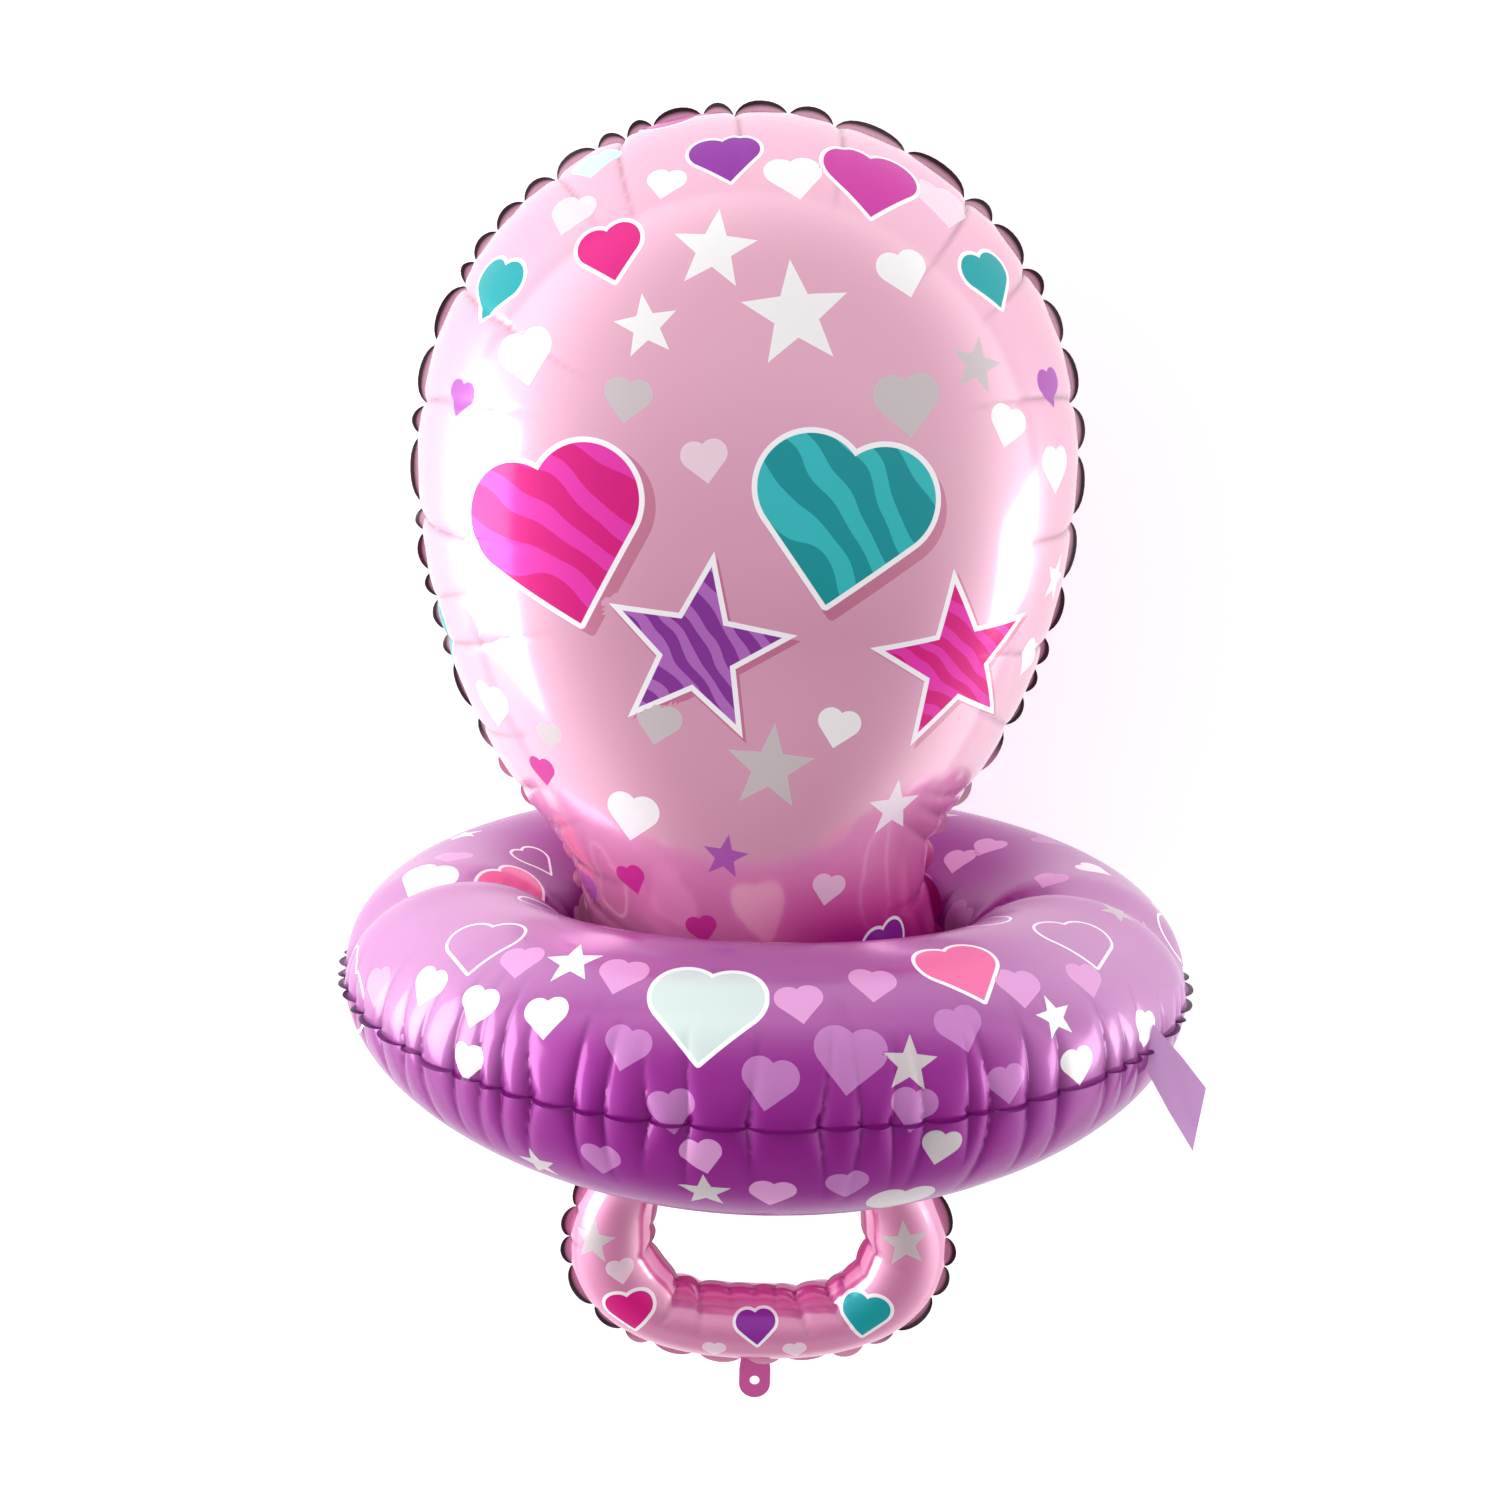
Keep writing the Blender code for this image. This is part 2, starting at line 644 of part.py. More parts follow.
pink = lay_down(pink)
purple = lay_down(purple)
tail = lay_down(tail)
floor = min(pink[:, 2].min(), purple[:, 2].min()) + REST_FLAT
everything = np.vstack([pink, purple, tail])
middle = (everything.min(0) + everything.max(0)) / 2
shift = np.array([-middle[0], -middle[1], -floor])
for group in (pink, purple, tail):
    group += shift

make_object("pacifier_balloon", pink, pink_faces, (0.86, 0.50, 0.66, 1.0), 0.22, 0.6)
ring_object = make_object("shield_ring", purple, ring_faces, (0.60, 0.24, 0.62, 1.0), 0.22, 0.6)
tail_object = make_object("tail_tool", tail, tail_faces, (0.60, 0.24, 0.62, 1.0), 0.22, 0.6)
tail_object.hide_render = True
tail_object.display_type = "WIRE"
join = ring_object.modifiers.new("fill_tab_tail", "BOOLEAN")
join.operation = "UNION"
join.solver = "EXACT"
join.object = tail_object
print("tilt", round(math.degrees(tilt), 2), "triangles", len(pink_faces), len(ring_faces))
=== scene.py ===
"""Visible skin of a foil balloon in the shape of a baby's dummy, lying on its back.

Both balloons are shaped upright (X across, Y from front to back, Z along the neck towards the head, ring
centre at the origin) and then laid down where the solids lie.
"""

import json
import math

import bpy
import numpy as np
from mathutils import Matrix, Vector, kdtree
from mathutils.bvhtree import BVHTree
from mathutils.geometry import delaunay_2d_cdt


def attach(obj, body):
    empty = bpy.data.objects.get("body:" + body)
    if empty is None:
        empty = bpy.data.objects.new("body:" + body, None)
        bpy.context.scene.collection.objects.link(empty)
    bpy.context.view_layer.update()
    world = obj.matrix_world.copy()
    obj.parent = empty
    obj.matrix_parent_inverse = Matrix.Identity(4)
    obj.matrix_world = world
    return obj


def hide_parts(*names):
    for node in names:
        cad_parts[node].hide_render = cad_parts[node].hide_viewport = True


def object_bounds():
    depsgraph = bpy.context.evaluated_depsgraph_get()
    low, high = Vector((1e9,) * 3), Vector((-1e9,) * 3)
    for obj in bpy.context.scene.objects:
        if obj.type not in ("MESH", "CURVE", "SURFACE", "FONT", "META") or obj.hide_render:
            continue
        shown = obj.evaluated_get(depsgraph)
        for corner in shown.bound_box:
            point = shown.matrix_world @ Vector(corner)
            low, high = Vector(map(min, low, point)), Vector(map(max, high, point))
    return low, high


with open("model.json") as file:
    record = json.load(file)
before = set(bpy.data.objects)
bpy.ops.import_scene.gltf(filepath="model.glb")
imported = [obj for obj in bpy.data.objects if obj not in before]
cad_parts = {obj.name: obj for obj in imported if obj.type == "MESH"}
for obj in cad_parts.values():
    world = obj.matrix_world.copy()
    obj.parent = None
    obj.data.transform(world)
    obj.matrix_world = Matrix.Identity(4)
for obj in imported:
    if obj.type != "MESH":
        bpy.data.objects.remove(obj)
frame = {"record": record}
cad_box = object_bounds()

TAU = 2.0 * math.pi

# Pink balloon, outer edge of the flat seam, in metres
HEAD_HALF_WIDTH = 0.2055
HEAD_RISE = 0.2115
HEAD_DROP = 0.2830
HEAD_CENTRE_Z = 0.3168
HEAD_HALF_DEPTH = 0.1280
NECK_HALF_WIDTH = 0.1165
NECK_HALF_DEPTH = 0.1155
NECK_SWELL_TO_Z = 0.080
HEAD_PROFILE_FROM_Z = 0.030
HEAD_PROFILE_TO_Z = 0.230
NECK_BLEND = 14.0
NECK_END_Z = -0.020
HEAD_LEAN = 0.0180
LEAN_TO_Z = 0.1200
WAIST_HALF_WIDTH = 0.1050
WAIST_Z = -0.1050
HANDLE_HALF_WIDTH = 0.1310
HANDLE_Z = -0.1900
HANDLE_DROP = 0.0893
HANDLE_SQUARENESS = 2.3
OPENING_HALF_WIDTH = 0.0670
OPENING_HALF_HEIGHT = 0.0400
OPENING_Z = -0.1810
OPENING_SQUARENESS = 2.8

# Sealed flange and fill tab of the pink balloon
FLANGE_WIDTH = 0.0065
FLANGE_GAP = 0.0006
OPENING_FLANGE_WIDTH = 0.0030
TAB_HALF_WIDTH = 0.0104
TAB_THICKNESS = 0.0016
TAB_LENGTH = 0.0250
TAB_HOLE_RADIUS = 0.0033
TAB_HOLE_FROM_END = 0.0125
TAB_ROOT = 0.004
TAB_ROOT_WIDTH = 0.9
TAB_FILM = 0.0001
TAB_POINTS = 24
TAB_MOUNT_Z = -0.2853

# Ring balloon, its tube given at the front and at the sides
RING_RADIUS_FRONT = 0.1889
RING_RADIUS_SIDE = 0.1927
NECK_SQUEEZE = 0.0021
NECK_ROOM_SIDE = 0.0045
TUBE_HEIGHT_FRONT = 0.0735
TUBE_HEIGHT_SIDE = 0.0610
RING_SADDLE = 0.0043
RING_SEAM_WIDTH = 0.0040
FOLD_ANGLE = 79.0
FOLD_WIDTH = 4.5
FOLD_DEPTH = 0.15
FOLD_LIP = 0.03
FOLD_POWER = 0.7

# Loose end of the ring's fill tab
TAIL_ANGLE = 56.0
TAIL_WIDTH = 0.0360
TAIL_LENGTH = 0.0460
TAIL_ROOT = 0.0120
TAIL_DROOP = 48.0
TAIL_TWIST = 68.0
TAIL_WIDTHS = (0.32, 0.35, 0.45, 0.50)
TAIL_WAVE = 0.0010
TAIL_WAVES = (3.0, 60.0)
TAIL_THICKNESS = 0.0004
TAIL_CELLS = (24, 16)

# Mesh steps
FIELD_STEP = 0.0025
FRONT_CELL = 0.0025
BACK_CELL = 0.0034
RIM_BAND = 0.0065
OUTLINE_STEP = 0.0015
ARC_POINTS = 400
SPINE_STEP = 0.001
SPINE_MARGIN = 0.01
SLOPE_FROM = 0.4
SLOPE_ROUNDS = 6
RELAX_ROUNDS = 1.6
LEAST_ARM = 0.1
FIELD_MARGIN = 3
PINK_COLUMNS = 12
OPENING_COLUMNS = 10
RING_COLUMNS = 12
SHARP_ANGLE = 40.0

# Pink balloon's inflated form: where its seams' own slope ends, where it is a plain membrane, and the room
# that it keeps inside the ring
SEAM_SLOPE_TO = 0.006
SPINE_FROM_Z = -0.11
PLAIN_BELOW_Z = -0.06
RING_ROOM = 0.001
SQUEEZE_FROM = 0.006
SQUEEZE_SOFT = 0.0015

# Puckers: typical pitch along a seam, depth, and reach away from it
PINK_PITCH = 0.0270
PINK_PUCKER = 0.0026
PINK_PUCKER_REACH = 0.0200
OPENING_PITCH = 0.0190
OPENING_PUCKER = 0.0018
OPENING_PUCKER_REACH = 0.0220
RING_PITCH = 0.0235
RING_PUCKER = 0.0036
RING_PUCKER_REACH = 0.0420
RING_CREASE = 0.0044
RING_CREASE_REACH = 0.0600
RING_LOWER_REACH = (0.65, 1.0)
HOLE_PITCH = 0.0200
HOLE_PUCKER = 0.0028
HOLE_PUCKER_REACH = 0.0500
PUCKER_SPREAD = 0.0042
FOLD_LINE = 0.0018
CREASE_BAND = 0.030
CREASE_ROUND = 0.0004
CREASE_SLANT = 0.18
CREASE_KEEPS_OFF = 0.55
LAST_KEEPS_OFF = 0.6
CREASE_FADE = 1.3
CREASE_END = 0.35
COLUMN_POWER = 1.5
STEP_SPREAD = (0.62, 1.38)
REACH_SPREAD = (0.45, 1.15)
DEPTH_SPREAD = (0.75, 1.15)
NAMED_REACH_SPREAD = (0.75, 1.2)

# Camera: picture size and ring centre in picture points, focal length in the same points
PICTURE = 1500.0
FOCAL = 1998.4
RING_CENTRE_X = 765.0
RING_CENTRE_Y = 963.3
CAMERA_RISE = 11.83
CAMERA_ROLL = 1.31
METRES_PER_POINT = 0.00064

random = np.random.default_rng(11)

mount = next(m for m in frame["record"]["mounts"] if m["name"] == "fill_tab_face")
FRONT = Vector(mount["axis"]).normalized()
ALONG = Vector((0.0, FRONT.z, -FRONT.y))
CENTRE = Vector(mount["pos_m"]) - FRONT * (TAB_THICKNESS / 2) - ALONG * TAB_MOUNT_Z
LAY = np.array([(1.0, 0.0, 0.0), tuple(-FRONT), tuple(ALONG)])


def lay_down(points):
    """Upright points, turned and moved to where the balloon lies."""
    return np.asarray(points) @ LAY + np.array(CENTRE)


def ramp(value, start, end):
    """Ease from 0 to 1 while a value goes from start to end."""
    t = np.clip((value - start) / (end - start), 0.0, 1.0)
    return t * t * (3.0 - 2.0 * t)


def blend(share, a, b):
    """a where share is 0, b where it is 1."""
    return a + (b - a) * share


def lean(z):
    """Sideways shift of the neck's top and the head, which stand a little to the left."""
    return -HEAD_LEAN * ramp(z, 0.0, LEAN_TO_Z)


# ---------------------------------------------------------------- camera

rise = math.radians(CAMERA_RISE)
roll = math.radians(CAMERA_ROLL)
ahead = np.array([0.0, math.cos(rise), -math.sin(rise)])
level_up = np.array([0.0, math.sin(rise), math.cos(rise)])
across = np.array([1.0, 0.0, 0.0]) * math.cos(roll) + level_up * math.sin(roll)
upward = level_up * math.cos(roll) - np.array([1.0, 0.0, 0.0]) * math.sin(roll)
eye = -(ahead * FOCAL + across * (RING_CENTRE_X - PICTURE / 2)
        - upward * (RING_CENTRE_Y - PICTURE / 2)) * METRES_PER_POINT


def picture_way(px, py):
    """Upright direction from the eye through a point of the picture."""
    return ahead * FOCAL + across * (px - PICTURE / 2) - upward * (py - PICTURE / 2)


def seam_point(px, py):
    """Point of the pink balloon's flat seam plane behind a point of the picture."""
    way = picture_way(px, py)
    hit = eye + way * (-eye[1] / way[1])
    return hit[0] - lean(hit[2]), hit[2]


camera_data = bpy.data.cameras.new("camera")
camera_data.sensor_width = 36.0
camera_data.lens = 36.0 * FOCAL / PICTURE
camera_data.clip_end = 20.0
camera = bpy.data.objects.new("camera", camera_data)
bpy.context.scene.collection.objects.link(camera)
camera.location = Vector(lay_down(eye))
view_axes = np.stack([across @ LAY, upward @ LAY, -(ahead @ LAY)], 1)
camera.rotation_mode = "QUATERNION"
camera.rotation_quaternion = Matrix(view_axes.tolist()).to_quaternion()
bpy.context.scene.camera = camera


# ---------------------------------------------------------------- outlines

def half_width(z):
    """Half width of the pink outline between the head's widest line and the handle's."""
    drop = np.clip((HEAD_CENTRE_Z - z) / HEAD_DROP, 0.0, 1.0)
    head = HEAD_HALF_WIDTH * np.sqrt(1.0 - drop * drop)
    upper = (head ** NECK_BLEND + NECK_HALF_WIDTH ** NECK_BLEND) ** (1.0 / NECK_BLEND)
    middle = blend(ramp(z, NECK_END_Z, WAIST_Z), NECK_HALF_WIDTH, WAIST_HALF_WIDTH)
    lower = blend(ramp(z, WAIST_Z, HANDLE_Z), WAIST_HALF_WIDTH, HANDLE_HALF_WIDTH)
    return np.where(z > NECK_END_Z, upper, np.where(z > WAIST_Z, middle, lower))


def superellipse(turn, wide, high, power=2.0):
    """Points of a superellipse about its centre, or of a plain ellipse."""
    c = np.cos(turn)
    s = np.sin(turn)
    return np.stack([wide * np.sign(c) * np.abs(c) ** (2.0 / power),
                     high * np.sign(s) * np.abs(s) ** (2.0 / power)], -1)


def pink_outline():
    """Dense closed outline of the pink balloon's outer edge, from the top clockwise."""
    turn = math.pi / 2 * (1.0 - np.arange(ARC_POINTS) / ARC_POINTS)
    top = superellipse(turn, HEAD_HALF_WIDTH, HEAD_RISE) + (0, HEAD_CENTRE_Z)
    z = HEAD_CENTRE_Z + (HANDLE_Z - HEAD_CENTRE_Z) * np.arange(2 * ARC_POINTS) / (2 * ARC_POINTS)
    side = np.stack([half_width(z), z], -1)
    turn = math.pi / 2 * np.arange(ARC_POINTS) / ARC_POINTS
    end = superellipse(turn, HANDLE_HALF_WIDTH, HANDLE_DROP, HANDLE_SQUARENESS) * (1, -1) + (0, HANDLE_Z)
    right = np.vstack([top, side, end])
    left = right[:0:-1] * (-1, 1)
    return np.vstack([right, [(0.0, HANDLE_Z - HANDLE_DROP)], left])


def runs(loop):
    """Distance along a closed loop at each of its points, and its whole length."""
    step = np.linalg.norm(np.roll(loop, -1, 0) - loop, axis=1)
    run = np.concatenate([[0.0], np.cumsum(step)])
    return run[:-1], run[-1]


def at_runs(loop, want):
    """Points of a closed loop at given distances along it."""
    run, length = runs(loop)
    run = np.append(run, length)
    closed = np.vstack([loop, loop[:1]])
    want = np.mod(want, length)
    return np.stack([np.interp(want, run, closed[:, 0]), np.interp(want, run, closed[:, 1])], -1)


def inward(loop):
    """Unit normals of a clockwise loop, pointing into it."""
    along = np.roll(loop, -1, 0) - np.roll(loop, 1, 0)
    along = along / np.linalg.norm(along, axis=1)[:, None]
    return np.stack([along[:, 1], -along[:, 0]], -1)


def nearest(points, loop):
    """Signed distance of points from a clockwise loop, positive inside, and how far along it they lie."""
    tree = kdtree.KDTree(len(loop))
    for i, (x, z) in enumerate(loop):
        tree.insert((x, z, 0.0), i)
    tree.balance()
    index = np.array([tree.find((x, z, 0.0))[1] for x, z in points])
    run, length = runs(loop)
    best = np.full(len(points), 1e9)
    sign = np.zeros(len(points))
    place = np.zeros(len(points))
    for back in (1, 0):
        a = loop[index - back]
        b = loop[(index - back + 1) % len(loop)]
        edge = b - a
        size = np.linalg.norm(edge, axis=1)
        share = np.clip(((points - a) * edge).sum(1) / size ** 2, 0.0, 1.0)
        off = points - a - edge * share[:, None]
        gap = np.linalg.norm(off, axis=1)
        closer = gap < best
        best = np.where(closer, gap, best)
        side = np.sign(off[:, 0] * edge[:, 1] - off[:, 1] * edge[:, 0])
        sign = np.where(closer, side, sign)
        place = np.where(closer, (run[index - back] + share * size) % length, place)
    return best * sign, place


def inside(points, loop):
    """Which points lie inside a closed loop."""
    hit = np.zeros(len(points), bool)
    for (ax, az), (bx, bz) in zip(loop, np.roll(loop, -1, 0)):
        crosses = (az > points[:, 1]) != (bz > points[:, 1])
        rise_z = bz - az if bz != az else 1e-12
        hit ^= crosses & (points[:, 0] < ax + (points[:, 1] - az) * (bx - ax) / rise_z)
    return hit


# ---------------------------------------------------------------- inflated depth of the pink balloon

class Pillow:
    """Membrane height over the flat sheet, zero on both seams."""

    def __init__(self, outer, hole):
        self.outer = outer
        self.hole = hole
        self.low = outer.min(0) - FIELD_MARGIN * FIELD_STEP
        high = outer.max(0) + FIELD_MARGIN * FIELD_STEP
        xs = np.arange(self.low[0], high[0], FIELD_STEP)
        zs = np.arange(self.low[1], high[1], FIELD_STEP)
        gx, gz = np.meshgrid(xs, zs, indexing="ij")
        gap = self.gap(np.stack([gx.ravel(), gz.ravel()], -1))[0].reshape(gx.shape)
        self.field = self.relax(gap)
        near = gap > SLOPE_FROM * FIELD_STEP
        slope = np.where(near, self.field / np.where(near, gap, 1.0), 0.0)
        known = near.astype(float)
        for _ in range(SLOPE_ROUNDS):
            total = np.zeros_like(slope)
            count = np.zeros_like(slope)
            for axis in (0, 1):
                for way in (1, -1):
                    total += np.roll(slope * known, way, axis)
                    count += np.roll(known, way, axis)
            fill = (known == 0) & (count > 0)
            slope[fill] = total[fill] / count[fill]
            known[fill] = 1.0
        self.slope = slope

    def gap(self, points):
        """Distance inside the nearer seam, and which seam it is."""
        outer, place = nearest(points, self.outer)
        hole, hole_place = nearest(points, self.hole)
        use_hole = -hole < outer
        return np.where(use_hole, -hole, outer), use_hole, np.where(use_hole, hole_place, place)

    def relax(self, gap):
        """Solve for the height with the seams' true places between the grid's nodes."""
        mask = gap > 0
        ways = ((0, -1), (0, 1), (1, -1), (1, 1))
        beside = [np.roll(gap, way, axis) for axis, way in ways]
        within = [other > 0 for other in beside]
        arms = [np.where(other > 0, 1.0, np.clip(gap / np.maximum(gap - other, 1e-9), LEAST_ARM, 1.0))
                for other in beside]
        weights = [2.0 / (arms[k] * (arms[k] + arms[k ^ 1])) for k in range(4)]
        total = sum(weights)
        pulls = [np.where(near, weight, 0.0) / total for near, weight in zip(within, weights)]
        source = FIELD_STEP ** 2 / total
        parity = np.add.outer(np.arange(gap.shape[0]), np.arange(gap.shape[1])) % 2
        over = 2.0 / (1.0 + math.sin(math.pi / max(gap.shape)))
        picks = [mask & (parity == colour) for colour in (0, 1)]
        field = np.zeros(gap.shape)
        for _ in range(int(RELAX_ROUNDS * max(gap.shape))):
            for pick in picks:
                around = source.copy()
                for pull, (axis, way) in zip(pulls, ways):
                    around += pull * np.roll(field, way, axis)
                field = np.where(pick, field + over * (around - field), field)
        return field

    def cubic(self, grid, points):
        """Smooth value of a grid at points."""
        u = (points[:, 0] - self.low[0]) / FIELD_STEP
        v = (points[:, 1] - self.low[1]) / FIELD_STEP
        i = np.clip(np.floor(u).astype(int), 1, grid.shape[0] - 3)
        j = np.clip(np.floor(v).astype(int), 1, grid.shape[1] - 3)

        def weights(t):
            return (-0.5 * t + t ** 2 - 0.5 * t ** 3, 1 - 2.5 * t ** 2 + 1.5 * t ** 3,
                    0.5 * t + 2 * t ** 2 - 1.5 * t ** 3, -0.5 * t ** 2 + 0.5 * t ** 3)

        wu = weights(u - i)
        wv = weights(v - j)
        value = np.zeros(len(points))
        for a in range(4):
            for b in range(4):
                value += wu[a] * wv[b] * grid[i + a - 1, j + b - 1]
        return value

    def height(self, points, gap):
        """Membrane height at points whose distance inside the seams is known."""
        close = self.cubic(self.slope, points) * np.maximum(gap, 0.0)
        inner = ramp(gap, SEAM_SLOPE_TO, 2 * SEAM_SLOPE_TO)
        return np.maximum(blend(inner, close, self.cubic(self.field, points)), 0.0)


def by_azimuth(front, side, azimuth):
    """A size that swings between the ring's front and its sides."""
    return (front + side) / 2 + (front - side) / 2 * np.cos(2 * azimuth)


def tube_reach(azimuth):
    """Half the tube's width, from its middle to the hole's wall."""
    hole = by_azimuth(NECK_HALF_DEPTH - NECK_SQUEEZE, NECK_HALF_WIDTH + NECK_ROOM_SIDE, azimuth)
    return by_azimuth(RING_RADIUS_FRONT, RING_RADIUS_SIDE, azimuth) - hole


def hole_radius(azimuth, z):
    """Distance from the axis to the wall of the ring's hole at a height."""
    height = by_azimuth(TUBE_HEIGHT_FRONT, TUBE_HEIGHT_SIDE, azimuth)
    level = np.clip(np.abs(z + RING_SADDLE * np.cos(2 * azimuth)) / height, 0.0, 1.0)
    radius = by_azimuth(RING_RADIUS_FRONT, RING_RADIUS_SIDE, azimuth)
    return np.where(level < 1.0, radius - tube_reach(azimuth) * np.sqrt(1.0 - level * level), 1.0)


class PinkDepth:
    """Half the pink balloon's thickness anywhere on its flat layout."""

    def __init__(self, pillow):
        self.pillow = pillow
        z = np.arange(OPENING_Z + OPENING_HALF_HEIGHT + SPINE_MARGIN,
                      HEAD_CENTRE_Z + HEAD_RISE - SPINE_MARGIN, SPINE_STEP)
        points = np.stack([np.zeros_like(z), z], -1)
        values = pillow.cubic(pillow.field, points)
        self.peak_z = float(z[int(values.argmax())])
        self.head_scale = HEAD_HALF_DEPTH / math.sqrt(2.0 * float(values.max()))
        self.neck_scale = NECK_HALF_DEPTH / math.sqrt(2.0 * float(np.interp(0.0, z, values)))

    def __call__(self, points, gap):
        z = points[:, 1]
        value = self.pillow.height(points, gap)
        headness = ramp(z, HEAD_PROFILE_FROM_Z, HEAD_PROFILE_TO_Z)
        neckness = ramp(z, WAIST_Z, 0.0) * ramp(z, NECK_SWELL_TO_Z, 0.0)
        scale = blend(headness, blend(neckness, 1.0, self.neck_scale), self.head_scale)
        spine = np.stack([np.zeros_like(z), np.clip(z, SPINE_FROM_Z, self.peak_z)], -1)
        ridge = np.maximum(self.pillow.cubic(self.pillow.field, spine), 1e-6)
        off = np.sqrt(np.clip(1.0 - value / ridge, 0.0, 1.0))
        shaped = np.sqrt(2.0 * ridge * (1.0 - off ** (2.0 + headness)))
        half = np.where(z < PLAIN_BELOW_Z, np.sqrt(2.0 * value), shaped) * scale
        x = points[:, 0] + lean(z)
        limit = hole_radius(np.arctan2(x, np.maximum(half, 1e-6)), z) - RING_ROOM
        room = np.sqrt(np.maximum(limit ** 2 - x ** 2, 1e-8))
        squeeze = (np.hypot(x, half) > limit - SQUEEZE_FROM) & (np.abs(x) < limit)
        both = np.exp(-np.minimum(half / SQUEEZE_SOFT, 300)) + np.exp(-np.minimum(room / SQUEEZE_SOFT, 300))
        return np.where(squeeze, -SQUEEZE_SOFT * np.log(both), half)


# ---------------------------------------------------------------- puckers along a seam

class Puckers:
    """Sharp creases across a seam, with their places along it, reaches and depths."""

    def __init__(self, length, pitch, depth, reach, named=()):
        places = [place % length for place, _, _ in named]
        lengths = [size for _, size, _ in named]
        depths = [deep for _, _, deep in named]
        run = 0.0
        while run < length - LAST_KEEPS_OFF * pitch:
            if all(abs((run - place + length / 2) % length - length / 2) > CREASE_KEEPS_OFF * pitch
                   for place in places):
                places.append(run)
                lengths.append(reach * random.uniform(*REACH_SPREAD))
                depths.append(depth * random.uniform(*DEPTH_SPREAD))
            run += pitch * random.uniform(*STEP_SPREAD)
        order = np.argsort(places)
        self.length = length
        self.places = np.array(places)[order]
        self.reach = np.array(lengths)[order]
        self.depth = np.array(depths)[order]
        self.slant = random.uniform(-CREASE_SLANT, CREASE_SLANT, len(order))

    def columns(self, per_cell):
        """Places along the seam for a mesh's columns, closer together beside each crease."""
        out = []
        ends = np.append(self.places[1:], self.places[0] + self.length)
        steps = np.arange(per_cell) / (per_cell / 2) - 1.0
        shares = (1.0 + np.sign(steps) * (1.0 - (1.0 - np.abs(steps)) ** COLUMN_POWER)) / 2
        for a, b in zip(self.places, ends):
            out += list(a + (b - a) * shares)
        return np.array(out)

    def miss(self, run, place):
        """Signed distance along the seam from a crease's place."""
        return (run - place + self.length / 2) % self.length - self.length / 2

    def push(self, run, away, reaches=None):
        """How far the skin is drawn in at a distance from the seam, and its fold lines."""
        total = np.zeros_like(run)
        fold = np.zeros_like(run)
        reaches = self.reach if reaches is None else reaches
        for place, reach, depth, slant in zip(self.places, reaches, self.depth, self.slant):
            off = self.miss(run, place)
            touched = (np.abs(off) < CREASE_BAND) & (away < reach)
            fade = 1.0 - away[touched] / reach
            off = off[touched] - slant * away[touched]
            spread = PUCKER_SPREAD * (CREASE_END + (1.0 - CREASE_END) * fade)
            valley = np.exp(-np.sqrt(off ** 2 + CREASE_ROUND ** 2) / spread)
            total[touched] = np.maximum(total[touched], depth * fade ** CREASE_FADE * valley)
            fold[touched] = np.maximum(fold[touched], np.sqrt(fade) * np.exp(-(off / FOLD_LINE) ** 2))
        return total, fold

    def settled(self, flat, run, away, loop, near, free):
        """Flat points with those near a crease moved onto it, so that its fold runs along mesh edges."""
        flat = flat.copy()
        for place, reach, slant in zip(self.places, self.reach, self.slant):
            miss = self.miss(run, place) - slant * away
            moved = free & (np.abs(miss) < near) & (away < reach)
            tangent = np.diff(at_runs(loop, np.array([place - near, place + near])), axis=0)[0]
            flat[moved] -= tangent / np.linalg.norm(tangent) * miss[moved, None]
        return flat

    def cell(self, run):
        """Share of the way from one crease to the next."""
        ends = np.append(self.places, self.places[0] + self.length)
        index = np.searchsorted(self.places, np.mod(run, self.length), side="right") - 1
        a = self.places[index]
        b = ends[np.where(index < 0, len(self.places), index + 1)]
        return np.clip(np.mod(run - a, self.length) / np.mod(b - a, self.length), 0.0, 1.0)

    def curl(self, run, most):
        """A bend for each scallop between two creases, given at places along the seam."""
        bends = random.uniform(-1.0, most, len(self.places) + 1)
        return bends[np.searchsorted(self.places, np.mod(run, self.length), side="right")]


# ---------------------------------------------------------------- mesh helpers

def quads(a, b, c, d):
    """Two triangles per four-cornered cell."""
    return np.vstack([np.stack([a, b, c], -1), np.stack([a, c, d], -1)])


def strip(row_a, row_b):
    """Two triangles per cell between closed rows of equal count."""
    return quads(row_a, np.roll(row_a, -1), np.roll(row_b, -1), row_b)


def halve(fine, coarse):
    """Triangles between a closed row and one with a node at every second place."""
    even, odd = fine[0::2], fine[1::2]
    after = np.roll(coarse, -1)
    return np.vstack([np.stack(corners, -1) for corners in (
        (even, odd, coarse), (odd, after, coarse), (odd, np.roll(even, -1), after))])


def triangulate(points, links, extent):
    """Triangles that keep the linked edges: extent 0 fills the hull of the points, 1 only the loops."""
    made = delaunay_2d_cdt([tuple(q) for q in points], links, [], extent, 1e-9)
    return np.array([[made[3][k][0] for k in tri] for tri in made[2]])


def slab_faces(sheet, links, count):
    """Faces of a thin slab: a sheet, its copy numbered count higher, and walls along the sheet's edges."""
    walls = [wall for a, b in links for wall in ((a, b, b + count), (a, b + count, a + count))]
    return np.vstack([sheet, sheet[:, ::-1] + count, np.array(walls)])


